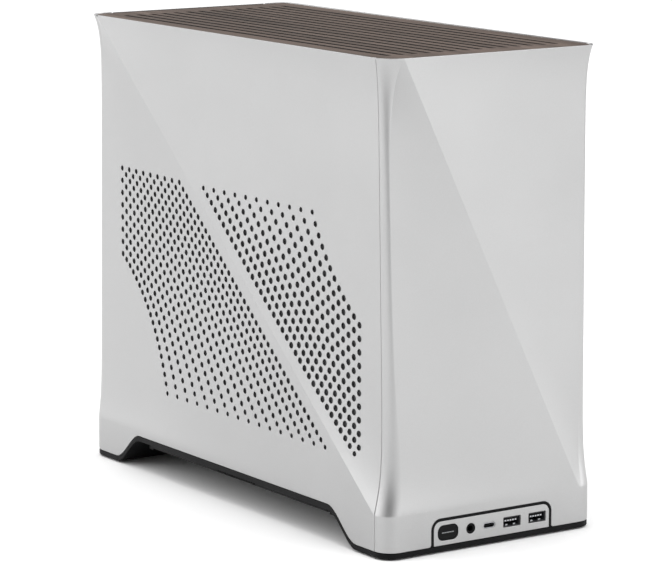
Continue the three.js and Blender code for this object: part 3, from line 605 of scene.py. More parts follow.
def walnut():
    """Oiled walnut with its grain along Y: growth bands, fibres and dark open pores, and painted shade on the faces
    that don't face up, such as the slot walls.
    """
    made = Shader("walnut", (0.1, 0.075, 0.06), 0.5, **{"Specular IOR Level": 0.3})
    sway = made.noise(1.0, 2, made.stretched((14, 3.5, 14)))
    warp = made.node("ShaderNodeCombineXYZ", {"X": made.math("MULTIPLY", sway, 0.02)}).outputs[0]
    moved = made.node("ShaderNodeVectorMath", {0: made.place, 1: warp}, operation="ADD").outputs[0]
    along = lambda scale: made.node("ShaderNodeMapping", {"Vector": moved, "Scale": scale}).outputs[0]
    bands = made.noise(1.0, 5, along((120, 2.2, 60)), 0.6)
    fibres = made.noise(1.0, 4, along((1400, 22, 900)), 0.7)
    pores = made.noise(1.0, 2, along((2600, 70, 2000)), 0.5)
    tone = made.math("ADD", made.math("MULTIPLY", bands, 0.65), made.math("MULTIPLY", fibres, 0.35))
    wood = made.ramp(
        tone,
        (0.33, (0.034, 0.022, 0.016)),
        (0.47, (0.07, 0.048, 0.037)),
        (0.58, (0.108, 0.077, 0.062)),
        (0.7, (0.155, 0.116, 0.096)),
    )
    pore = made.fit(pores, 1.0, 0.45, 0.62, 0.7)
    dark = made.node("ShaderNodeMix", {0: 1.0, 6: wood}, data_type="RGBA", blend_type="MULTIPLY")
    gray = made.node("ShaderNodeCombineColor", {0: pore, 1: pore, 2: pore}).outputs[0]
    made.set(dark, {7: gray})
    height = made.math("SUBTRACT", made.math("MULTIPLY", fibres, 0.5), made.math("SUBTRACT", 1.0, pore))
    gloss = made.fit(fibres, 0.42, 0.62)
    # Painted shade: faces that turn away from up, such as the slot walls, get a darker colour that stands in for the
    # shade inside the slots.
    normal = made.node("ShaderNodeTexCoord").outputs["Normal"]
    upward = made.node("ShaderNodeSeparateXYZ", {0: normal}).outputs["Z"]
    slot_wall_shade = made.fit(upward, 0.12, 1.0, 0.1, 0.97)
    slot_shade_tint = made.node("ShaderNodeCombineColor", {0: slot_wall_shade, 1: slot_wall_shade, 2: slot_wall_shade}).outputs[0]
    wood = made.node("ShaderNodeMix", {0: 1.0, 6: dark.outputs[2], 7: slot_shade_tint}, data_type="RGBA", blend_type="MULTIPLY")
    return made.finish(
        Base_Color=wood.outputs[2], Roughness=gloss, Normal=made.bump(height, 0.6, 0.00015)
    )


def woven(name, color, pitch):
    """A fine net of round threads crossing at right angles."""
    made = Shader(name, color, 0.6)
    waves = []
    for axis in ("X", "Y"):
        inputs = {"Vector": made.place, "Scale": math.pi / pitch / 10}
        waves.append(made.node("ShaderNodeTexWave", inputs, bands_direction=axis).outputs["Fac"])
    threads = made.math("MAXIMUM", *waves)
    base = made.ramp(threads, (0.35, shade(color, 0.25)), (0.75, shade(color, 1.6)))
    return made.finish(Base_Color=base, Normal=made.bump(threads, 0.8, pitch / 4))


def circuit_board():
    """Dark solder resist over copper tracks that run in straight steps."""
    made = Shader("circuit_board", (0.012, 0.016, 0.018), 0.35, **{"Coat Weight": 0.3, "Coat Roughness": 0.25})
    cells = made.node(
        "ShaderNodeTexVoronoi",
        {"Vector": made.place, "Scale": 170},
        distance="MANHATTAN",
        feature="DISTANCE_TO_EDGE" if False else "F1",
    ).outputs["Distance"]
    tracks = made.node("ShaderNodeMath", {0: made.math("MULTIPLY", cells, 9)}, operation="PINGPONG")
    made.set(tracks, {1: 0.5})
    lines = made.fit(tracks.outputs[0], 0.0, 1.0, 0.2, 0.3)
    base = made.ramp(lines, (0.0, (0.008, 0.011, 0.013)), (1.0, (0.02, 0.027, 0.03)))
    return made.finish(Base_Color=base, Normal=made.bump(lines, 0.3, 0.00004))


ALUMINIUM = (0.405, 0.405, 0.406)
COPPER = grained("copper_plating", (0.62, 0.5, 0.42), 0.28, 600, 0.00001, 0.05, Metallic=1.0)
GOLD = grained("gilt_contact", (0.85, 0.68, 0.36), 0.25, 800, 0.00001, 0.05, Metallic=1.0)
MATERIAL = {
    "anodised_aluminium": grained(
        "anodised_aluminium", ALUMINIUM, 0.36, 1500, 0.00003, 0.035, 0.03, 7.0, Metallic=1.0
    ),
    "walnut": walnut(),
    "black_plastic": grained(
        "black_plastic", (0.004, 0.004, 0.0045), 0.5, 1800, 0.00004, 0.2, **{"Specular IOR Level": 0.1}
    ),
    "rubber_pad": grained("rubber_pad", (0.008, 0.008, 0.008), 0.8, 900, 0.00008, 0.25, **{"Specular IOR Level": 0.15}),
    "coated_steel": grained("coated_steel", (0.022, 0.022, 0.025), 0.45, 1100, 0.00005, 0.2),
    "bare_steel": grained("bare_steel", (0.5, 0.51, 0.53), 0.32, 700, 0.00001, 0.08, 0.08, Metallic=1.0),
    "heatsink_aluminium": grained(
        "heatsink_aluminium", (0.58, 0.59, 0.61), 0.38, 500, 0.00002, 0.08, 0.08, Metallic=1.0
    ),
    "fan_plastic": grained("fan_plastic", (0.015, 0.015, 0.017), 0.42, 1500, 0.00003, 0.2),
    "circuit_board": circuit_board(),
    "filter_nylon": woven("filter_nylon", (0.012, 0.012, 0.013), 0.0006),
    "light_guide": grained("light_guide", (0.3, 0.31, 0.32), 0.3, 1200, 0.00001, 0.05),
}


# ------------------------------------------------------------------ case


def heights(low, high, count):
    """Heights closer together near both ends."""
    t = np.linspace(0, 1, count)
    return low + (high - low) * (1 - np.cos(math.pi * t)) / 2


ROWS = heights(BAND, HEIGHT, 56)


def crease_direction():
    """Unit vector down the left side's crease, in (y, z)."""
    line = np.array([-2 * 170.6, BAND - HEIGHT])
    return line / np.linalg.norm(line)


# The perforations fill two fields, one each side of the crease, between two heights. Their
# holes stand in rows that start or end parallel to the crease and bend away from it.
FIELD = {"top": 210.3, "bottom": 61.2, "rear": 138.0, "front": -154.9}
HOLE_SIDES = 14
CREASE = 170.6  # reach of the crease either side of the middle
PRESS_SHIFT = 1.6  # how far a hole moves back for each millimetre that its face is pressed in


def bent_row(start, end, bend_at, direction, count):
    """Points on a quadratic curve from start to end that leaves bend_at along direction."""
    reach = 0.505 * np.linalg.norm(end - start)
    middle = bend_at + direction * reach
    t = np.linspace(0, 1, count + 1)[:, None]
    return (1 - t) ** 2 * start + 2 * t * (1 - t) * middle + t**2 * end


def turned(vector, angle):
    c, s = math.cos(angle), math.sin(angle)
    return np.array([c * vector[0] - s * vector[1], s * vector[0] + c * vector[1]])


def rear_field():
    """Rows from the top edge and the rear column down to the bottom edge."""
    rows = []
    for i in range(-7, 9):
        start = np.array([FIELD["rear"] - 9.6 * max(i, 0), FIELD["top"] + 8.6 * min(i, 0)])
        end = np.array([-11.5 - 12.98 * i, FIELD["bottom"]])
        count = round(31.2 + 0.042 * (i + 3.9) ** 2) + 2 * min(i, 0)
        direction = turned(crease_direction(), 0.009 - 0.0073 * (8 - i))
        rows.append(bent_row(start, end, start, direction, count))
    return np.concatenate(rows)


def front_field():
    """Rows from the top edge down to the front column."""
    rows = []
    for i in range(11):
        start = np.array([30.3 - 13.15 * i, FIELD["top"]])
        end = np.array([FIELD["front"], 58.35 + 8.68 * i])
        count = round(35.8 - 3.32 * i + 0.088 * i**2)
        direction = turned(crease_direction(), -0.038 - 0.0036 * i)
        rows.append(bent_row(start, end, end, -direction, count))
    return np.concatenate(rows)


def hole_diameters(points, largest, least_top):
    """Holes are smaller along the top and bottom edges of a field."""
    from_top = np.exp(-(FIELD["top"] - points[:, 1]) / 9)
    from_bottom = np.exp(-(points[:, 1] - FIELD["bottom"]) / 6)
    return largest - (largest - least_top) * from_top - (largest - 3.2) * from_bottom


def pressed(y, z):
    """How far the left panel's face is pressed in."""
    crease = -CREASE * crease_place(z)
    behind = press_left(z) * (y - crease) / (SEAM - crease)
    ahead = press_right(z) * (crease - y) / (crease + SEAM)
    return np.where(y > crease, behind, ahead)


def perforations():
    """Every hole of the left panel as (y, z, diameter)."""
    rear, front = rear_field(), front_field()
    front = front[front[:, 1] > FIELD["bottom"] - 1]
    fields = [(rear, 4.0, 3.75), (front, 4.35, 3.4)]
    found = np.concatenate(
        [np.column_stack([p, hole_diameters(p, most, least)]) for p, most, least in fields]
    )
    found[:, 0] += PRESS_SHIFT * pressed(found[:, 0], found[:, 1])
    return found


def side_panel(side, name):
    place = side_place(side)
    end = SEAM + CORNER_LENGTH + FLANGE
    low = SKIRT
    arch = arch_curve(0)
    outline = np.array([[-SEAM + GAP, low], *arch, [end, low], [end, HEIGHT], [-SEAM + GAP, HEIGHT]])
    outline = refine(outline, 5)
    found = perforations()
    holes = [circle(-side * y, z, d / 2, HOLE_SIDES) for y, z, d in found]
    crease = np.column_stack([side * 170.6 * crease_place(ROWS), ROWS])[1:-1]
    fold = np.array([[a, BAND] for a in np.linspace(-SEAM + 2, end - 2, 60)])
    fill = [(a, z) for z in ROWS[1:-1] for a in np.arange(-SEAM + 3, SEAM, 9)]
    fill += [(SEAM + t, z) for z in ROWS[1:-1] for t in np.linspace(0.01, CORNER_LENGTH, 9)]
    fill += [(SEAM + t, z) for z in (10, 16, 22) for t in np.linspace(0.01, CORNER_LENGTH, 9)]
    fill = np.array(fill)
    centres = np.column_stack([-side * found[:, 0], found[:, 1]])
    near_hole = np.zeros(len(fill), bool)
    for centre, d in zip(centres, found[:, 2]):
        near_hole |= np.hypot(*(fill - centre).T) < d / 2 + 1.2
    near_crease = np.abs(fill[:, 0] - side * 170.6 * crease_place(fill[:, 1])) < 2
    fill = fill[~near_hole & ~near_crease & inside(outline, fill)]
    made = add_sheet(
        f"side_shell_{name}", outline, holes, place, SKIN, f"side_panel_{name}", MATERIAL["anodised_aluminium"],
        "anodised_aluminium", lines=[crease, fold], fill=fill,
    )
    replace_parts(made, f"side_panel_{name}")
    net = np.array([[-158, 55], [153, 55], [153, 216], [-158, 216]])
    net[:, 0] *= -side
    net = refine(net if side < 0 else net[::-1], 10)
    fill = [(a, z) for a in np.arange(-150, 156, 12) for z in np.arange(60, 214, 8)]
    fill = np.array(fill)[inside(net, np.array(fill, float))]
    behind = lambda a, z, inset: place(a, z, inset + SKIN + 0.15)
    add_sheet(
        f"side_net_{name}", net, [], behind, 0.4, f"side_panel_{name}", MATERIAL["filter_nylon"],
        "filter_nylon", fill=fill, edge=0.05,
    )
    for row, y in (("front", -140), ("rear", 140)):
        for level, z in (("low", 33), ("high", 293)):
            root = abs(place(np.array([float(y)]), np.array([float(z)]), SKIN - 0.2)[0][0])
            profile = [(0, root), (5, root), (5, root - 1), (2.4, root - 1.6), (2.4, 72.4)]
            profile += [(1.7, 71.6), (2.4, 70.4), (1.8, 69.6), (0, 69.5)]
            stud = lathe([(r, side * x) for r, x in profile], 0, (y, z), 24)
            add_solid(f"panel_stud_{level}_{row}_{name}", stud, f"side_panel_{name}", "anodised_aluminium", 0, material=MATERIAL["bare_steel"])


# The port window's opening in the front, and the plate in it.
PLATE_LOW, PLATE_HIGH = box_mm("io_plate")
PLATE = {"half": PLATE_HIGH[0], "top": PLATE_HIGH[2], "bottom": PLATE_LOW[2], "radius": 5.0}
TRIM = 1.4


def window(grow, bottom, flare=0.0, steps=8):
    """The port window's sides and top as an open row of points, from the bottom right round to
    the bottom left. flare is the radius that its lower ends turn outward with."""
    w = PLATE["half"] + grow
    h = PLATE["top"] + grow
    r = PLATE["radius"] + grow
    turn = np.linspace(0, math.pi / 2, steps)
    right = [(w - r + r * math.cos(t), h - r + r * math.sin(t)) for t in turn]
    if flare:
        foot = [(w + flare * (1 - math.sin(t)), bottom + flare * (1 - math.cos(t))) for t in turn]
    else:
        foot = [(w, bottom)]
    half = foot + right
    return np.array(half + [(-x, z) for x, z in reversed(half)])


def front_panel():
    outer = FACE + CORNER_LENGTH
    opening = window(TRIM + 2 * GAP, SKIRT, 1.6)
    opening = np.column_stack([front_pattern_x(opening[:, 0], opening[:, 1]), opening[:, 1]])
    corners = [[-outer, HEIGHT], [-outer, SKIRT]]
    outline = refine(np.array([*corners, *opening[::-1], [outer, SKIRT], [outer, HEIGHT]]), 4)
    left, right, middle = front_ends(ROWS)
    crease = np.column_stack([-FACE + 2 * FACE * (middle - left) / (right - left), ROWS])[1:-2]
    fold = np.array([[a, BAND] for a in np.linspace(-outer + 1, outer - 1, 70)])
    steps = np.concatenate([np.linspace(-outer + 1.2, -FACE, 12), np.arange(-FACE + 6, FACE, 7)])
    columns = np.concatenate([steps, np.linspace(FACE, outer - 1.2, 12)])
    fill = np.array([(a, z) for z in [*ROWS[1:-1], 10, 16, 22] for a in columns])
    crease_at = np.interp(fill[:, 1], crease[:, 1], crease[:, 0])
    near_crease = (np.abs(fill[:, 0] - crease_at) < 1.5) & (fill[:, 1] > BAND)
    fill = fill[~near_crease & inside(outline, fill)]
    made = add_sheet(
        "front_shell", outline, [], front_place, SKIN, "chassis", MATERIAL["anodised_aluminium"],
        "anodised_aluminium", lines=[crease, fold], fill=fill,
    )
    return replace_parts(made, "front_panel")


# ------------------------------------------------------------------ lid and base


def case_outline(z, inset, steps=12):
    """The outline of the whole case at height z, counter-clockwise from the front left corner."""
    left, right, _ = front_ends(z)
    back = HALF_WIDTH - CORNER
    round_corners = [
        (left, -SEAM, creased_corner(z), CORNER - press_left(z), 180),
        (right, -SEAM, soft_corner(z), CORNER - press_right(z), 270),
        (back - press_right(z), SEAM, CORNER, CORNER, 0),
        (-back + press_left(z), SEAM, CORNER, CORNER, 90),
    ]
    points = []
    for x, y, a, b, start in round_corners:
        turn = np.radians(start + np.linspace(0, 90, steps))
        points += list(zip(x + (a - inset) * np.cos(turn), y + (b - inset) * np.sin(turn)))
    return np.array(points)


SLOT = {"count": 14, "pitch": 10.0, "width": 4.4, "half_length": 161.0}
LID = {"top": HEIGHT - 0.4, "shoulder": 310.8, "bottom": 305.0}
LID_EDGE = [(0.0, 0.85, 75), (0.12, 0.5, 55), (0.45, 0.15, 30), (1.0, 0.0, 0)]


def lid():
    """The walnut lid: one slotted board, and the deeper ribs under its middle."""
    outline = case_outline(LID["top"], SKIN + GAP + 0.1)
    rear = REAR_FACE - SKIN - GAP
    outline[:, 1] = np.minimum(outline[:, 1], rear)
    slots = []
    for i in range(SLOT["count"]):
        x = (i - (SLOT["count"] - 1) / 2) * SLOT["pitch"]
        slot = rounded(x, 0, SLOT["width"], 2 * SLOT["half_length"], SLOT["width"] / 2 - 0.01, 9)
        slots.append(refine(slot, 8))
    board = flat_place(2, LID["top"], 1)
    fill = [(x, y) for x in np.arange(-75, 76, 10) for y in np.arange(-175, 176, 7)]
    made = add_sheet(
        "walnut_lid", refine(outline, 6), slots, board, LID["top"] - LID["shoulder"], "top_grille",
        MATERIAL["walnut"], "walnut", fill=[p for p in fill if abs(p[1]) > SLOT["half_length"] + 2 or abs(p[0]) > 72],
        edge=0.9, hole_edge=0.35, hole_profile=LID_EDGE,
    )
    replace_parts(made, "top_grille")
    ribs = flat_place(2, LID["shoulder"], 1)
    add_sheet(
        "lid_ribs", refine(rounded(0, 0, 144, 340, 6), 8), slots, ribs, LID["shoulder"] - LID["bottom"],
        "top_grille", MATERIAL["walnut"], "walnut", edge=0.01, hole_edge=0.01,
    )


FOOT_FLOOR = 1.0


def base():
    """The black base: a lip that stands flush under the aluminium, and the tray inside it."""
    under = arch_curve(ARCH["lip"])
    under[:, 1] = np.maximum(under[:, 1], FOOT_FLOOR)
    over = arch_curve(GAP)[::-1]
    end = HALF_DEPTH + 1
    feet = [[-end, FOOT_FLOOR]], [[end, FOOT_FLOOR]]
    lip = np.concatenate([feet[0], under, feet[1], [[end, SKIRT - GAP]], over, [[-end, SKIRT - GAP]]])
    body = np.concatenate([feet[0], under, feet[1], [[end, 24], [-end, 24]]])
    across = (-HALF_WIDTH - 1, HALF_WIDTH + 1)
    footprint = lambda inset: prism(case_outline(0.0, inset), 2, 0.5, 30)
    lip = carved(prism(lip, 0, *across), ("INTERSECT", footprint(0.15)))
    lip = cut(lip, prism(case_outline(0.0, 2.4), 2, -1, 31))
    made = add_solid("base_lip", lip, "chassis", "black_plastic", 0.5, angle=30)
    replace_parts(made, "base_tray")

    tray = carved(prism(body, 0, *across), ("INTERSECT", footprint(2.45)))
    tools = [prism(circle(0, y, 56, 64), 2, 10, 30) for y in (-62, 62)]
    for side in (-1, 1):
        tools.append(block(-76, 76, side * 166.5 - 12.5, side * 166.5 + 12.5, 5.5, 30))
        tools += [prism(circle(x, side * 166, 9.3, 32), 2, -1, 3.3) for x in (-62, 62)]
    tools.append(block(-48.4, 48.4, -190, -170, 4.5, 30))
    add_solid("base_body", cut(tray, *tools), "chassis", "black_plastic", 0.6)
    rails = []
    for side in (-1, 1):
        rails.append(block(-76, 76, side * 114.5 - 1.5, side * 114.5 + 1.5, 15.2, 20.6))
        rails.append(block(-76, 76, side * 112 - 1.5, side * 112 + 1.5, 15.2, 16.9))
    for i, rail in enumerate(rails):
        add_solid(f"filter_rail_{i + 1}", rail, "chassis", "black_plastic", 0.3)

    for row, y in (("front", -166), ("rear", 166)):
        for name, x in (("left", -62), ("right", 62)):
            profile = [(0, 0.35), (3, 0.35), (3.4, 0), (5.6, 0), (6, 0.35), (6.6, 0.35), (7, 0)]
            profile += [(8.5, 0), (9, 0.5), (9, 2.8), (8.8, 3), (0, 3)]
            pad = lathe(profile, 2, (x, y), 40)
            add_solid(f"rubber_pad_{row}_{name}", pad, "chassis", "rubber_pad", 0, [f"foot_pad_{row}_{name}"])


# ------------------------------------------------------------------ front ports

PORT_Z = 12.9
BUTTON = {"x": -34.6, "width": 15.4, "height": 9.6, "radius": 3.9, "face": -HALF_DEPTH + 0.1}
JACK_X = -16.9
PORT_C_X = -2.3
PORTS_A = {"left": 15.8, "right": 36.0}


def port_plate():
    face = flat_place(1, -HALF_DEPTH, -1)
    sides = window(0, PLATE["bottom"])
    outline = refine(np.array(list(sides)), 3)
    holes = [
        rounded(BUTTON["x"], PORT_Z, BUTTON["width"] + 0.6, BUTTON["height"] + 0.6, BUTTON["radius"] + 0.3, 9),
        circle(JACK_X, PORT_Z, 3.5, 36),
        rounded(PORT_C_X, PORT_Z, 9.6, 4, 1.99, 9),
    ]
    holes += [rounded(a, PORT_Z, 13.9, 6.8, 0.6, 4) for a in PORTS_A.values()]
    made = add_sheet(
        "port_plate", outline, holes, face, 0.9, "chassis", MATERIAL["anodised_aluminium"],
        "anodised_aluminium", edge=0.25, hole_edge=0.2,
    )
    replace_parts(made, "io_plate")

    outer = window(TRIM + 0.45, SKIRT - 0.25, 1.45)
    inner = window(0.15, SKIRT - 0.25)
    made = add_sheet(
        "port_surround", refine(np.concatenate([outer, inner[::-1]]), 3), [], flat_place(1, -HALF_DEPTH + 0.25, -1),
        5.5, "chassis", MATERIAL["black_plastic"], "black_plastic", edge=0.2,
    )
    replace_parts(made, "io_trim")


def power_button():
    x, face = BUTTON["x"], BUTTON["face"]
    shape = rounded(x, PORT_Z, BUTTON["width"], BUTTON["height"], BUTTON["radius"], 9)
    groove = rounded(x, PORT_Z, 9.6, 0.8, 0.38, 5)
    made = add_sheet(
        "button_cap", refine(shape, 2), [groove], flat_place(1, face, -1), 4.6, "power_button",
        MATERIAL["black_plastic"], "black_plastic", edge=0.7, hole_edge=0.12,
    )
    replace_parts(made, "power_button")
    bars = [block(x + i * 1.95 - 0.8, x + i * 1.95 + 0.8, face + 0.15, face + 1.6, PORT_Z - 0.3, PORT_Z + 0.3) for i in range(-2, 3)]
    made = add_solid("button_lights", merged(*bars), "power_button", "light_guide", 0.1)
    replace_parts(made, "button_light_guide")
    add_solid("button_stem", block(x - 2, x + 2, -178.6, -174.8, PORT_Z - 2, PORT_Z + 2), "power_button", "black_plastic", 0.3)
    add_solid("button_backing", block(x - 4.8, x + 4.8, face + 1.7, face + 2.6, PORT_Z - 0.5, PORT_Z + 0.5), "power_button", "black_plastic", 0)


def usb_a(name, node, a, back=-166):
    """A USB-A socket: dark shell with two spring tabs, and a tongue with five contacts."""
    z, face = PORT_Z, -HALF_DEPTH + 0.6
    shell = cut(
        prism(rounded(a, z, 13.5, 6.4, 0.7, 4), 1, face, back),
        prism(rounded(a, z, 12.5, 5.4, 0.4, 4), 1, face - 3, back - 1),
    )
    add_solid(f"{name}_shell", shell, "chassis", "coated_steel", 0.12, [node])
    tongue = block(a - 5.6, a + 5.6, face + 1.2, back - 1.5, z + 0.3, z + 2.1)
    add_solid(f"{name}_tongue", tongue, "chassis", "black_plastic", 0.2)
    add_solid(f"{name}_backing", block(a - 6, a + 6, back - 3, back - 1.2, z - 2.5, z + 2.5), "chassis", "black_plastic", 0)
    contacts = []
    for x in (-4, -2, 0, 2, 4):
        contacts.append(block(a + x - 0.6, a + x + 0.6, face + 1.05, face + 9, z + 0.15, z + 1.05))
    add_solid(f"{name}_contacts", merged(*contacts), "chassis", "bare_steel", 0)
    tabs = [block(a + x - 0.9, a + x + 0.9, face + 1.4, face + 7, z - 2.7, z - 1.9) for x in (-3.1, 3.1)]
    add_solid(f"{name}_springs", merged(*tabs), "chassis", "bare_steel", 0.1)


def front_sockets():
    for side, a in PORTS_A.items():
        usb_a(f"usb_a_{side}", f"usb_a_port_{side}", a)
    z, face = PORT_Z, -HALF_DEPTH + 0.3
    shell = cut(
        prism(rounded(PORT_C_X, z, 9.2, 3.6, 1.79, 9), 1, face, -170),
        prism(rounded(PORT_C_X, z, 8.4, 2.8, 1.39, 9), 1, face - 3, -172),
    )
    add_solid("usb_c_shell", shell, "chassis", "bare_steel", 0.1, ["usb_c_port"])
    tongue = block(PORT_C_X - 3.2, PORT_C_X + 3.2, face + 1.2, -171, z - 0.35, z + 0.35)
    add_solid("usb_c_tongue", tongue, "chassis", "black_plastic", 0.1)
    profile = [
        (0, -168), (1.8, -168), (1.8, face + 0.6), (2.2, face + 0.1), (2.9, face + 0.1),
        (3.25, face + 0.45), (3.25, -166), (0, -166),
    ]
    barrel = lathe(profile, 1, (JACK_X, z), 40)
    add_solid("audio_jack_barrel", barrel, "chassis", "black_plastic", 0, ["audio_jack"])


# ------------------------------------------------------------------ back of the case

IO_BAY = {"x": (-53.0, -8.6), "z": (95.0, 254.0)}
CARD_SLOTS = {"middles": (12.0, 32.3, 52.6), "width": 18.0, "z": (110.0, 224.0)}
INLET = {"x": -36.0, "z": 69.0}
SHIELD_FACE = 181.1
# Rear connectors as (kind, x, z). They stand on edge, because the board does.
CONNECTORS = [
    ("usb_a", -16.6, 236), ("usb_a", -23.4, 236), ("usb_a", -34.6, 236), ("usb_a", -41.4, 236),
    ("video", -16, 212), ("usb_c", -22.6, 212), ("usb_a", -31.6, 212), ("usb_a", -38.4, 212),
    ("usb_a", -16.6, 184), ("usb_a", -23.4, 184), ("usb_a", -34.6, 184), ("usb_a", -41.4, 184),
    ("network", -22, 156),
    ("audio", -38, 124), ("audio", -29, 124), ("audio", -20, 124),
]
# Opening of each kind as (width in x, height in z, corner radius).
OPENINGS = {
    "usb_a": (5.6, 13.2, 0.5), "usb_c": (3.4, 9.2, 1.69), "video": (5.6, 15.2, 1.2),
    "network": (16.2, 13.8, 0.5), "audio": (6.6, 6.6, 3.29),
}


def opening(kind, x, z, grow=0.0):
    w, h, r = OPENINGS[kind]
    return rounded(x, z, w + 2 * grow, h + 2 * grow, r + grow, 9 if r > 1 else 4)


def screw(name, place, axis, outward, body="chassis", radius=2.9):
    """A domed screw head with a crossed recess. place is the middle of its seat."""
    others = [i for i in range(3) if i != axis]
    centre = [place[i] for i in others]
    seat = place[axis]
    rise_by = [(0, -0.3), (radius * 0.96, -0.3), (radius, 0.2), (radius * 0.86, 1.0), (radius * 0.5, 1.45), (0, 1.6)]
    head = lathe([(r, seat + outward * h) for r, h in rise_by], axis, centre, 24)
    slots = []
    for long, short in ((radius * 0.62, 0.42), (0.42, radius * 0.62)):
        low, high = [0.0] * 3, [0.0] * 3
        for i, half in zip(others, (long, short)):
            low[i], high[i] = place[i] - half, place[i] + half
        low[axis], high[axis] = sorted((seat + outward * 0.7, seat + outward * 3))
        slots.append(block(low[0], high[0], low[1], high[1], low[2], high[2]))
    return add_solid(name, cut(head, *slots), body, "bare_steel", 0.08)


def rear_panel():
    half = FLANGE_END - GAP
    low, high = SKIRT + GAP, HEIGHT - 0.2
    middle = (low + high) / 2
    holes = [rounded(np.mean(IO_BAY["x"]), np.mean(IO_BAY["z"]), 42.4, 157, 1)]
    for x in CARD_SLOTS["middles"]:
        holes.append(rounded(x, np.mean(CARD_SLOTS["z"]), CARD_SLOTS["width"], 114, 1))
    holes.append(rounded(INLET["x"], INLET["z"], 29, 21, 1.5))
    for i in range(-4, 5):
        holes += [rounded(i * 12.5, 280, 6, 28, 2.99), rounded(i * 12.5, 40, 6, 14, 2.99)]
    made = add_sheet(
        "rear_plate", refine(rounded(0, middle, 2 * half, high - low, 1.5, 4), 8), holes,
        flat_place(1, REAR_FACE, 1), SKIN, "chassis", MATERIAL["coated_steel"], "coated_steel",
    )
    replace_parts(made, "rear_panel")
    inner = REAR_FACE - SKIN
    for side in (-1, 1):
        x0, x1 = sorted((side * half, side * (half - SKIN)))
        name = "left" if side < 0 else "right"
        add_solid(f"rear_flange_{name}", block(x0, x1, inner - 12, inner + 0.1, 30, 298), "chassis", "coated_steel", 0.3)
        for level, z in (("high", 303), ("low", 22)):
            screw(f"rear_screw_{level}_{name}", (side * 57.5, REAR_FACE, z), 1, 1)
    for i, x in enumerate(CARD_SLOTS["middles"]):
        screw(f"slot_screw_{i + 1}", (x, REAR_FACE, 229.5), 1, 1, radius=2.5)


def io_shield():
    x, z = IO_BAY["x"], IO_BAY["z"]
    outline = refine(rounded(np.mean(x), np.mean(z), x[1] - x[0], z[1] - z[0], 1.5, 4), 6)
    holes = [opening(kind, a, b, 0.3) for kind, a, b in CONNECTORS]
    made = add_sheet(
        "port_shield", outline, holes, flat_place(1, SHIELD_FACE, 1), 1.1, "chassis",
        MATERIAL["bare_steel"], "bare_steel", hole_edge=0.2,
    )
    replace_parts(made, "io_shield")


def rear_connectors():
    """Shells with their tongues, and the blocks that they stand in."""
    front, back = SHIELD_FACE - 0.2, 160.0
    blocks = [(-28, -8.8, 226, 246), (-46, -29.4, 226, 246), (-28, -8.8, 202, 222), (-43, -29.4, 202, 222)]
    blocks += [(-28, -8.8, 174, 194), (-46, -29.4, 174, 194), (-31, -8.8, 147, 165), (-44, -14, 117, 131)]
    housings = [block(x0, x1, back - 1, 179.8, z0, z1) for x0, x1, z0, z1 in blocks]
    cavities = [prism(opening(kind, x, z, -0.02), 1, back + 4, 185) for kind, x, z in CONNECTORS]
    first = None
    shells, tongues, contacts = [], [], []
    for i, (kind, x, z) in enumerate(CONNECTORS):
        outer = prism(opening(kind, x, z, -0.03), 1, back + 6, front)
        inner = prism(opening(kind, x, z, -0.5 if kind != "audio" else -1.5), 1, back + 4, front + 5)
        shells.append((kind, cut(outer, inner)))
        if kind == "usb_a":
            tongues.append(block(x + 0.5, x + 2, back + 4, front - 1.5, z - 5.4, z + 5.4))
            contacts += [block(x + 0.3, x + 0.5, back + 8, front - 2, z + c - 0.5, z + c + 0.5) for c in (-3.4, -1.1, 1.1, 3.4)]
        elif kind in ("usb_c", "video"):
            reach = 3.1 if kind == "usb_c" else 5.5
            tongues.append(block(x - 0.4, x + 0.4, back + 4, front - 1.5, z - reach, z + reach))
        elif kind == "network":
            contacts += [block(x + c - 0.25, x + c + 0.25, back + 8, front - 5, z + 4.4, z + 5) for c in np.linspace(-4, 4, 8)]
    steel = merged(*[solid for kind, solid in shells if kind not in ("audio", "network")])
    dark = merged(*[solid for kind, solid in shells if kind in ("audio", "network")])
    housing = carved(merged(*housings), *[("DIFFERENCE", cavity) for cavity in cavities])
    made = add_solid("connector_housings", housing, "chassis", "bare_steel", 0.2, ["rear_ports"])
    add_solid("connector_shells", steel, "chassis", "bare_steel", 0.1)
    add_solid("connector_liners", dark, "chassis", "black_plastic", 0.1)
    add_solid("connector_tongues", merged(*tongues), "chassis", "black_plastic", 0.1)
    add_solid("connector_contacts", merged(*contacts), "chassis", "bare_steel", 0, material=GOLD)


def mains_inlet():
    x, z = INLET["x"], INLET["z"]
    flange = prism(rounded(x, z, 48, 24, 4, 7), 1, 179.6, 181.1)
    housing = prism(rounded(x, z, 28, 20, 1.5, 4), 1, 163, REAR_FACE - 0.1)
    mouth = np.array([[-12, -8], [12, -8], [12, 4.5], [8.5, 8], [-8.5, 8], [-12, 4.5]]) + [x, z]
    solid = carved(flange, ("UNION", housing), ("DIFFERENCE", prism(mouth, 1, 167, 190)))
    add_solid("inlet_socket", solid, "chassis", "black_plastic", 0.4, ["mains_inlet"])
    pins = [block(x + a - 1, x + a + 1, 166, 176, z + b - 2, z + b + 2) for a, b in ((-7, -2), (0, 3), (7, -2))]
    add_solid("inlet_pins", merged(*pins), "chassis", "bare_steel", 0.35)
    for side in (-1, 1):
        name = "left" if side < 0 else "right"
        screw(f"inlet_screw_{name}", (x + side * 19.5, 181.1, z), 1, 1, radius=2.3)


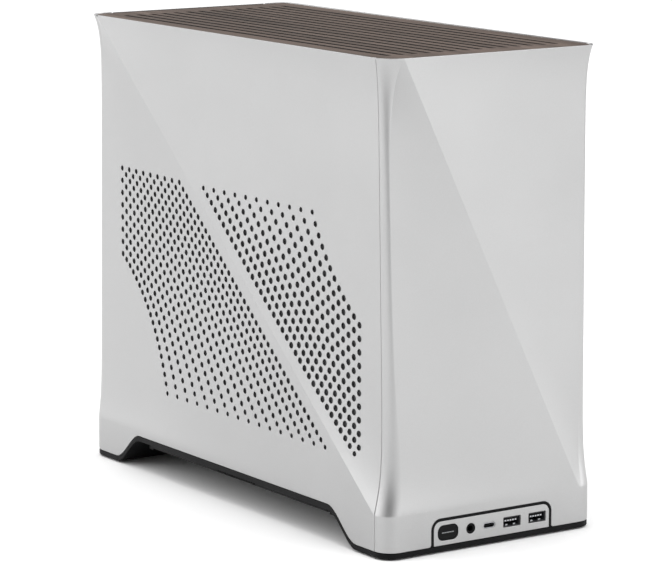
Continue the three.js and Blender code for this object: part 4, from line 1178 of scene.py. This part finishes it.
def card_bracket():
    """The graphics card's steel bracket over two slots, and the cover of the third."""
    middle, low, high = 22.1, 107.0, 227.0
    vents = [rounded(32, z, 14, 2.6, 1.29, 6) for z in np.arange(119, 220, 5.4)]
    outputs = [rounded(12, z, 6.2, 17, 0.8, 4) for z in (126, 151, 176, 201)]
    made = add_sheet(
        "card_bracket", refine(rounded(middle, (low + high) / 2, 39, high - low, 1, 4), 6), vents + outputs,
        flat_place(1, SHIELD_FACE, 1), 1.4, "chassis", MATERIAL["bare_steel"], "bare_steel", hole_edge=0.2,
    )
    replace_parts(made, "graphics_bracket")
    shells, tongues = [], []
    for z in (126, 151, 176, 201):
        outer = prism(rounded(12, z, 6, 16.8, 0.7, 4), 1, 168, SHIELD_FACE + 0.3)
        shells.append(cut(outer, prism(rounded(12, z, 5, 15.8, 0.4, 4), 1, 170, 190)))
        tongues.append(block(11.6, 12.4, 169, SHIELD_FACE - 1.5, z - 5.6, z + 5.6))
    add_solid("card_outputs", merged(*shells), "chassis", "bare_steel", 0.12)
    add_solid("card_output_tongues", merged(*tongues), "chassis", "black_plastic", 0.1)
    vents = [rounded(52.6, z, 10, 2.6, 1.29, 6) for z in np.arange(119, 220, 5.4)]
    made = add_sheet(
        "blank_cover", refine(rounded(52.6, (low + high) / 2, 18.4, high - low, 1, 4), 6), vents,
        flat_place(1, SHIELD_FACE, 1), 1.4, "chassis", MATERIAL["coated_steel"], "coated_steel", hole_edge=0.2,
    )
    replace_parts(made, "slot_cover")


# ------------------------------------------------------------------ fans


def moved(solid, origin, axes):
    """A solid made round the axis Z, moved so that its own axes lie along the given ones."""
    points, faces = solid
    return np.asarray(points) @ np.array(axes, float) + origin, faces


UP = ((1, 0, 0), (0, 1, 0), (0, 0, 1))
LEFTWARD = ((0, 0, 1), (0, 1, 0), (-1, 0, 0))
RIGHTWARD = ((0, 0, -1), (0, 1, 0), (1, 0, 0))


def blade(hub, tip, low, high, chord, sweep, steps=(10, 9)):
    """A cambered blade from the hub to the tip, twisted and swept."""
    out = np.linspace(0, 1, steps[0])
    across = np.linspace(-1, 1, steps[1])
    grid = []
    middle, half = (low + high) / 2, (high - low) / 2
    for side in (1, -1):
        for u in out:
            radius = hub - 1 + u * (tip - hub + 1)
            for v in across:
                width = chord * (1 + 0.35 * u) / radius
                angle = v * width / 2 + sweep * u * u
                camber = 0.22 * half * (1 - v * v)
                pitch = half * (0.88 - 0.3 * u) * v * (1 - 0.1 * v * v)
                thick = 0.6 * (1 - 0.75 * abs(v) ** 3)
                height = middle + pitch + camber + side * thick
                grid.append((radius * math.cos(angle), radius * math.sin(angle), height))
    rows, columns = steps
    at = lambda side, r, c: side * rows * columns + r * columns + c
    faces = []
    for r in range(rows - 1):
        for c in range(columns - 1):
            quad = [(r, c), (r + 1, c), (r + 1, c + 1), (r, c + 1)]
            faces.append([at(0, *q) for q in quad])
            faces.append([at(1, *q) for q in quad[::-1]])
    rim = [(0, c) for c in range(columns)] + [(r, columns - 1) for r in range(1, rows)]
    rim += [(rows - 1, c) for c in range(columns - 2, -1, -1)] + [(r, 0) for r in range(rows - 2, 0, -1)]
    for p, q in zip(rim, rim[1:] + rim[:1]):
        faces.append([at(0, *p), at(0, *q), at(1, *q), at(1, *p)])
    return np.array(grid), faces


def fan_rotor(thick, radius, hub, count):
    low, high = 2.4, thick - 1
    profile = [(0, low), (hub - 1, low), (hub, low + 1), (hub, high - 1.6), (hub - 0.5, high - 0.5)]
    profile += [(hub - 1.8, high), (hub * 0.72, high), (hub * 0.68, high - 0.4), (0, high - 0.4)]
    parts = [lathe(profile, 2, (0, 0), 48)]
    one = blade(hub, radius, low + 0.2, high - 0.2, hub * 0.95 + 2, 0.42)
    for i in range(count):
        turn = 2 * math.pi * i / count
        c, s = math.cos(turn), math.sin(turn)
        parts.append(moved(one, 0, ((c, s, 0), (-s, c, 0), (0, 0, 1))))
    return merged(*parts)


def fan_frame(size, thick, bore, hub):
    half = size / 2
    body = prism(rounded(0, 0, size, size, 5, 7), 2, 0, thick)
    profile = [(0, -1), (bore + 1.2, -1), (bore + 1.2, 0), (bore, 2.4), (bore, thick - 2.4)]
    mouth = lathe(profile + [(bore + 1.2, thick), (bore + 1.2, thick + 1), (0, thick + 1)], 2, (0, 0), 64)
    waist = cut(block(-half - 1, half + 1, -half - 1, half + 1, 4, thick - 4), prism(circle(0, 0, bore + 1.9, 64), 2, 3, thick - 3))
    reach = half - (7.5 if size > 100 else 5)
    screws = [prism(circle(x, y, 2.2, 16), 2, -1, thick + 1) for x in (-reach, reach) for y in (-reach, reach)]
    frame_body = cut(body, mouth, waist, *screws)
    arms = []
    for i in range(4):
        turn = math.pi / 4 + i * math.pi / 2
        c, s = math.cos(turn), math.sin(turn)
        arm = block(hub - 1.5, bore + 0.8, -1.6, 1.6, 0.1, 2.0)
        arms.append(moved(arm, 0, ((c, s, 0), (-s, c, 0), (0, 0, 1))))
    plate = lathe([(0, 0.1), (hub - 0.8, 0.1), (hub, 0.9), (hub, 2.1), (0, 2.1)], 2, (0, 0), 40)
    return merged(frame_body, plate, *arms)


CASE_FAN = {"size": 120, "thick": 25, "bore": 58, "rotor": 55.5, "hub": 20}
SMALL_FAN = {"size": 92, "thick": 15, "bore": 44, "rotor": 42, "hub": 16}
COOLER = {"x": -50.4, "y": 98.0, "z": 186.0}
PSU = {"x": (-73.5, -10.0), "y": (-165.0, -65.0), "z": (140.0, 265.0)}
CARD_FANS = {"x": 31.9, "y": (-25.0, 100.0), "z": 167.0}


def fans():
    big = {key: CASE_FAN[key] for key in ("size", "thick", "bore", "hub")}
    small = {key: SMALL_FAN[key] for key in ("size", "thick", "bore", "hub")}
    case_frame, case_rotor = fan_frame(**big), fan_rotor(25, CASE_FAN["rotor"], 20, 7)
    for level, z in (("bottom", 25.8), ("top", 275.7)):
        for row, y in (("front", -62), ("rear", 62)):
            name = f"{level}_fan_{row}"
            add_solid(f"{name}_housing", moved(case_frame, (0, y, z), UP), "chassis", "fan_plastic", 0.35, [f"{name}_frame"])
            add_solid(f"{name}_impeller", moved(case_rotor, (0, y, z), UP), name, "fan_plastic", 0, [f"{name}_rotor"], angle=40)
    origin = (COOLER["x"], COOLER["y"], COOLER["z"])
    rotor = fan_rotor(15, SMALL_FAN["rotor"], 16, 7)
    add_solid("cooler_fan_housing", moved(fan_frame(**small), origin, LEFTWARD), "chassis", "fan_plastic", 0.3, ["cooler_fan_frame"])
    add_solid("cooler_fan_impeller", moved(rotor, origin, LEFTWARD), "cooler_fan", "fan_plastic", 0, ["cooler_fan_rotor"], angle=40)
    middle = (PSU["x"][0] + 14.5, np.mean(PSU["y"]), np.mean(PSU["z"]))
    rotor = fan_rotor(15, SMALL_FAN["rotor"], 15, 9)
    add_solid("psu_fan_impeller", moved(rotor, middle, LEFTWARD), "psu_fan", "fan_plastic", 0, ["psu_fan_rotor"], angle=40)
    rotor = fan_rotor(17, 45.5, 15, 9)
    for i, y in enumerate(CARD_FANS["y"]):
        place = (CARD_FANS["x"], y, CARD_FANS["z"])
        name = f"graphics_fan_{i + 1}"
        add_solid(f"{name}_impeller", moved(rotor, place, RIGHTWARD), name, "fan_plastic", 0, [name], angle=40)


# ------------------------------------------------------------------ inside


def tube(route, radius, sides=14, per_span=8):
    """A round tube along a smooth curve through the points of a route."""
    p = np.array([route[0], *route, route[-1]], float)
    path = []
    for a, b, c, d in zip(p[:-3], p[1:-2], p[2:-1], p[3:]):
        for t in np.arange(per_span) / per_span:
            path.append(0.5 * (2 * b + (c - a) * t + (2 * a - 5 * b + 4 * c - d) * t**2 + (3 * b - a - 3 * c + d) * t**3))
    path = np.array([*path, p[-2]])
    along = np.gradient(path, axis=0)
    along /= np.linalg.norm(along, axis=1)[:, None]
    side = np.cross(along[0], (0.3, 0.5, 0.8))
    points = []
    for centre, ahead in zip(path, along):
        side = side - ahead * np.dot(side, ahead)
        side /= np.linalg.norm(side)
        other = np.cross(ahead, side)
        for t in np.arange(sides) * 2 * math.pi / sides:
            points.append(centre + radius * (math.cos(t) * side + math.sin(t) * other))
    last = len(path) - 1
    faces = [list(range(sides))[::-1], [last * sides + i for i in range(sides)]]
    for r in range(last):
        for i in range(sides):
            j = (i + 1) % sides
            faces.append([r * sides + i, r * sides + j, (r + 1) * sides + j, (r + 1) * sides + i])
    return np.array(points), faces


def board_details():
    """What stands on the main board besides its larger parts."""
    face = -8.1
    seat = face - 0.01
    chokes = [block(seat - 5, seat, y - 3.4, y + 3.4, 226.5, 233.5) for y in range(58, 146, 9)]
    chokes += [block(seat - 5, seat, 148, 155, z - 3.4, z + 3.4) for z in (170, 180, 190, 200, 210)]
    add_solid("board_chokes", merged(*chokes), "chassis", "coated_steel", 0.5)
    cans = [(y, 222) for y in range(58, 146, 9)] + [(44, z) for z in (118, 128, 200, 212, 224)]
    profile = [(0, seat), (3.1, seat), (3.1, seat - 0.8), (2.8, seat - 1.2), (3.1, seat - 1.6)]
    profile += [(3.1, seat - 6.6), (2.7, seat - 7), (0, seat - 7)]
    cans = [lathe(profile, 0, centre, 20) for centre in cans]
    add_solid("board_capacitors", merged(*cans), "chassis", "heatsink_aluminium", 0)
    chips = [(38, 150, 4), (36, 176, 5.5), (150, 118, 5), (90, 137, 3), (126, 136, 3), (36, 250, 3.5), (160, 252, 3)]
    chips = [block(seat - 1.1, seat, y - h, y + h, z - h, z + h) for y, z, h in chips]
    add_solid("board_chips", merged(*chips), "chassis", "black_plastic", 0.15)
    rng = np.random.default_rng(7)
    specks = []
    while len(specks) < 90:
        y, z = rng.uniform(34, 150), rng.uniform(98, 258)
        if 70 < y < 126 and 158 < z < 214:
            continue
        w, h = ((0.5, 0.9), (0.9, 0.5))[int(rng.integers(2))]
        specks.append(block(seat - 0.7, seat, y - w, y + w, z - h, z + h))
    add_solid("board_small_parts", merged(*specks), "chassis", "heatsink_aluminium", 0)
    holes = [(0.9, y, z) for y in range(0, 1) for z in range(0, 1)]
    sockets = block(seat - 11, seat, 29.4, 34.8, 150, 202)
    pins = [block(seat - 12, seat - 3, y - 1.5, y + 1.5, z - 1.5, z + 1.5) for y in (30.8, 33.6) for z in np.arange(152.4, 201, 4.2)]
    add_solid("board_power_socket", cut(sockets, *[pin for pin in pins[::2]]), "chassis", "black_plastic", 0.2)
    for i, (y, z) in enumerate([(14, 98), (164, 100), (14, 256), (170, 256)]):
        screw(f"board_screw_{i + 1}", (face, y, z), 0, -1)


def plates(low, high, first, last, pitch, thick):
    """Fins across Y as one solid: low and high are the corners in (x, z)."""
    fins = [block(low[0], high[0], y, y + thick, low[1], high[1]) for y in np.arange(first, last - thick, pitch)]
    return merged(*fins)


def heatsinks():
    face = -8.1
    y, z = COOLER["y"], COOLER["z"]
    fins = plates((face - 42, z - 45.5), (face - 13, z + 45.5), y - 45.5, y + 46, 2.2, 0.45)
    add_solid("cooler_fins", fins, "chassis", "heatsink_aluminium", 0, ["cooler_heatsink"])
    add_solid("cooler_base", block(face - 9, face - 3.7, y - 20, y + 20, z - 20, z + 20), "chassis", "heatsink_aluminium", 0.6)
    pipes = []
    for offset in (-12, -4, 4, 12):
        for side in (-1, 1):
            route = [(face - 6.5, y + side * 4, z + offset), (face - 6.5, y + side * 26, z + offset * 1.4)]
            route += [(face - 10, y + side * 36, z + offset * 1.9), (face - 22, y + side * 38, z + offset * 2.2)]
            pipes.append(tube([*route, (face - 41.5, y + side * 38, z + offset * 2.2)], 2.8))
    add_solid("cooler_heat_pipes", merged(*pipes), "chassis", "heatsink_aluminium", 0, material=COPPER)
    low, high = box_mm("graphics_heatsink")
    fins = plates((low[0] + 4, low[2]), (high[0], high[2]), low[1], high[1], 2.6, 0.5)
    add_solid("card_fins", fins, "chassis", "heatsink_aluminium", 0, ["graphics_heatsink"])
    add_solid("card_cold_plate", block(low[0], low[0] + 4.1, low[1] + 20, high[1] - 20, low[2] + 8, high[2] - 8), "chassis", "heatsink_aluminium", 0.5)
    pipes = []
    for z in (128, 144, 190, 206):
        route = [(low[0] + 7, low[1] + 4, z), (low[0] + 7, 0, z + 3), (low[0] + 7, 60, z - 2), (low[0] + 7, high[1] - 4, z)]
        pipes.append(tube(route, 2.9))
    add_solid("card_heat_pipes", merged(*pipes), "chassis", "heatsink_aluminium", 0, material=COPPER)


def memory():
    face = -8.1
    for i, front in enumerate((13, 22.5)):
        socket = cut(block(face - 6, face - GAP, front - 1.2, front + 5.2, 104, 240), block(face - 7, face - 2, front + 0.6, front + 3.4, 106, 238))
        add_solid(f"memory_socket_{i + 1}", socket, "chassis", "black_plastic", 0.3)
        clips = [block(face - 9, face - 1, front - 0.6, front + 4.6, z - 1.6, z + 1.6) for z in (103.4, 240.6)]
        add_solid(f"memory_clips_{i + 1}", merged(*clips), "chassis", "fan_plastic", 0.4)
        spreader = block(face - 38, face - 7, front, front + 4, 108, 236)
        grooves = [block(face - 34 + n * 4, face - 32.6 + n * 4, front - 1, front + 0.5, 112, 232) for n in range(6)]
        notches = [block(face - 40, face - 36.4, front - 1, front + 5, z - 5, z + 5) for z in range(122, 230, 20)]
        solid = cut(spreader, *grooves, *notches)
        add_solid(f"memory_spreader_{i + 1}", solid, "chassis", "coated_steel", 0.35, [f"memory_module_{i + 1}"])
    low, high = box_mm("solid_state_drive")
    ridges = [block(low[0] - 1, low[0] + 1.3, low[1] + 4, high[1] - 4, z, z + 1.3) for z in np.arange(109.6, 127, 2.6)]
    add_solid("drive_heatsink", cut(block(low[0], high[0], *[v for p in zip(low[1:], high[1:]) for v in p]), *ridges), "chassis", "coated_steel", 0.25, ["solid_state_drive"])


def power_supply():
    (x0, x1), y, z = PSU["x"], np.mean(PSU["y"]), np.mean(PSU["z"])
    rings = [tube_ring(x0 - 0.9, y, z, r, 0.75) for r in np.arange(9, 47, 6.1)]
    bars = [block(x0 - 1.4, x0 - 0.2, y - 0.7, y + 0.7, z - 46, z + 46), block(x0 - 1.4, x0 - 0.2, y - 46, y + 46, z - 0.7, z + 0.7)]
    add_solid("psu_wire_guard", merged(*rings, *bars), "chassis", "bare_steel", 0, ["psu_fan_guard"])
    for i, (a, b) in enumerate([(-36, -36), (36, -36), (36, 36), (-36, 36)]):
        screw(f"psu_screw_{i + 1}", (x0, y + a, z + b), 0, -1)
    leads = []
    for i in range(6):
        a = -40 + i * 9
        start = (-20 - 3.6 * (i % 3), -64.8, 168 + 5 * i)
        leads.append(tube([start, (start[0], -50, start[2]), (-22, -20 + 2 * i, 172 + 4 * i), (-21, 8, 172 + 4 * i), (-20, 29, 160 + 7 * i)], 1.9, 10))
    add_solid("power_leads", merged(*leads), "chassis", "rubber_pad", 0)


def tube_ring(x, y, z, radius, wire, steps=56, sides=10):
    points, faces = [], []
    for t in np.arange(steps) * 2 * math.pi / steps:
        for u in np.arange(sides) * 2 * math.pi / sides:
            out = radius + wire * math.cos(u)
            points.append((x + wire * 0.7 * math.sin(u), y + out * math.cos(t), z + out * math.sin(t)))
    for i in range(steps):
        for j in range(sides):
            k, m = (i + 1) % steps, (j + 1) % sides
            faces.append([i * sides + j, i * sides + m, k * sides + m, k * sides + j])
    return np.array(points), faces


def graphics_card():
    low, high = box_mm("graphics_shroud")
    body = block(low[0], high[0], low[1], high[1], low[2], high[2])
    x1, z = high[0], CARD_FANS["z"]
    tools = []
    for y in CARD_FANS["y"]:
        profile = [(0, 0), (47.5, 0), (47.5, x1 - 3), (49.2, x1 - 1), (51, x1), (51, x1 + 2), (0, x1 + 2)]
        tools.append(lathe(profile, 0, (y, z), 64))
    for i in range(7):
        groove = np.array([[30, 0], [46, 0], [46, 1.6], [30, 1.6]]) + [0.5, 118 + i * 14.5]
        tools.append(prism(groove, 0, x1 - 1, x1 + 2))
    tools.append(block(x1 - 1.2, x1 + 2, low[1] + 4, low[1] + 6, low[2] + 6, high[2] - 6))
    tools.append(block(0, 100, high[1] - 12, high[1] - 5, low[2] + 9, high[2] - 12))
    add_solid("card_shroud", cut(body, *tools), "chassis", "fan_plastic", 0.9, ["graphics_shroud"])
    for i, y in enumerate(CARD_FANS["y"]):
        ring = lathe([(0, x1 - 17.5), (15, x1 - 17.5), (15, x1 - 16.8), (0, x1 - 16.8)], 0, (y, z), 32)
        add_solid(f"card_fan_mount_{i + 1}", ring, "chassis", "fan_plastic", 0.2)
    tab = [block(7.8, 8, y, y + 0.7, 100.4, 106) for y in np.arange(67, 143, 1.2)]
    add_solid("card_contacts", merged(*tab), "chassis", "circuit_board", 0, material=GOLD)


INLET_ROUTE = [
    (-36, 162.2, 69), (-36, 148, 68), (-48, 110, 60), (-54, 40, 57.5), (-54, -40, 57.5),
    (-48, -92, 66), (-42, -113, 95), (-42, -115, 125), (-42, -115, 145),
]


def filter_tray():
    low, high = box_mm("filter_frame")
    x, y = high[0], high[1]
    frame_body = prism(rounded(0, 0, 2 * x, 2 * y, 3, 5), 2, low[2], high[2])
    windows = []
    for side in (-1, 1):
        windows.append(prism(rounded(0, side * (y - 4) / 2, 2 * x - 16, y - 8, 3, 5), 2, 0, 40))
    grooves = [block(-x - 1, -x + 1, a, a + 1.4, low[2] + 0.6, high[2] - 0.6) for a in np.arange(-24, 24, 3)]
    add_solid("filter_tray", cut(frame_body, *windows, *grooves), "dust_filter", "black_plastic", 0.4, ["filter_frame"])


def frame_screws():
    for level, z, out in (("top", 302.2, 1),):
        for y in (-62, 62):
            for dx in (-52.5, 52.5):
                for dy in (-52.5, 52.5):
                    name = f"{level}_fan_screw_{int(y + dy + 200)}_{'left' if dx < 0 else 'right'}"
                    screw(name, (dx, y + dy, z), 2, out)


# ------------------------------------------------------------------ stage


def stage():
    bpy.ops.mesh.primitive_plane_add(size=12)
    floor = bpy.context.object
    floor.name = "floor"
    paper = Shader("floor", (0.9, 0.9, 0.9), 0.75)
    tone = paper.ramp(paper.noise(3, 3), (0.3, (0.89, 0.89, 0.89)), (0.7, (0.91, 0.91, 0.91)))
    floor.data.materials.append(paper.finish(Base_Color=tone))

    world = bpy.data.worlds.new("studio")
    bpy.context.scene.world = world
    world.use_nodes = True
    tree = world.node_tree
    direction = tree.nodes.new("ShaderNodeTexCoord").outputs["Generated"]
    parts = tree.nodes.new("ShaderNodeSeparateXYZ")
    tree.links.new(direction, parts.inputs[0])
    product = tree.nodes.new("ShaderNodeMath")
    product.operation = "MULTIPLY"
    tree.links.new(parts.outputs["X"], product.inputs[0])
    tree.links.new(parts.outputs["Y"], product.inputs[1])
    strength = tree.nodes.new("ShaderNodeMapRange")
    strength.inputs["From Min"].default_value = -0.5
    strength.inputs["From Max"].default_value = 0.5
    strength.inputs["To Min"].default_value = 2.4
    strength.inputs["To Max"].default_value = 0.1
    tree.links.new(product.outputs[0], strength.inputs["Value"])
    background = tree.nodes["Background"]
    background.inputs["Color"].default_value = (1, 1, 1, 1)
    tree.links.new(strength.outputs[0], background.inputs["Strength"])

    middle = Vector((0, 0, HEIGHT / 2 / MM))
    lights = [
        ("top_softbox", (-0.1, 0.1, 2.4), 1.6, 24),
        ("left_softbox", (-2.6, 0.2, 1.6), 1.6, 3.5),
        ("right_softbox", (2.2, -1.8, 1.5), 1.6, 7),
    ]
    for name, place, size, power in lights:
        data = bpy.data.lights.new(name, "AREA")
        data.shape = "SQUARE"
        data.size = size
        data.energy = power
        light = bpy.data.objects.new(name, data)
        bpy.context.scene.collection.objects.link(light)
        light.location = place
        light.rotation_euler = (Vector(place) - middle).to_track_quat("Z", "Y").to_euler()


def camera():
    """A long lens, seen from the front left and a little above."""
    data = bpy.data.cameras.new("camera")
    data.sensor_width = 36
    data.lens = 173.4
    data.shift_x = 0.0021
    data.shift_y = -0.0053
    data.clip_start = 0.05
    data.clip_end = 50
    made = bpy.data.objects.new("camera", data)
    bpy.context.scene.collection.objects.link(made)
    made.location = (-1.2022, -1.7888, 0.52425)
    made.rotation_euler = (math.radians(90 - 10.134), 0, math.radians(-33.951))
    bpy.context.scene.camera = made


camera()
stage()
bpy.context.scene.view_settings.view_transform = "Standard"

side_panel(-1, "left")
side_panel(1, "right")
front_panel()
lid()
base()
port_plate()
power_button()
front_sockets()
rear_panel()
io_shield()
rear_connectors()
mains_inlet()
card_bracket()
fans()
board_details()
heatsinks()
memory()
power_supply()
graphics_card()
filter_tray()
frame_screws()
made = add_solid("inlet_cable", tube(INLET_ROUTE, 3.2), "chassis", "rubber_pad", 0)
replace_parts(made, "inlet_lead")

for part in frame["record"]["subparts"]:
    node = frame["nodes"][part["node"]]
    node.data.materials.clear()
    node.data.materials.append(MATERIAL[part["material_slot"]])
    if not node.hide_render and part["node"] != "filter_mesh":
        soften(node, 0.35)
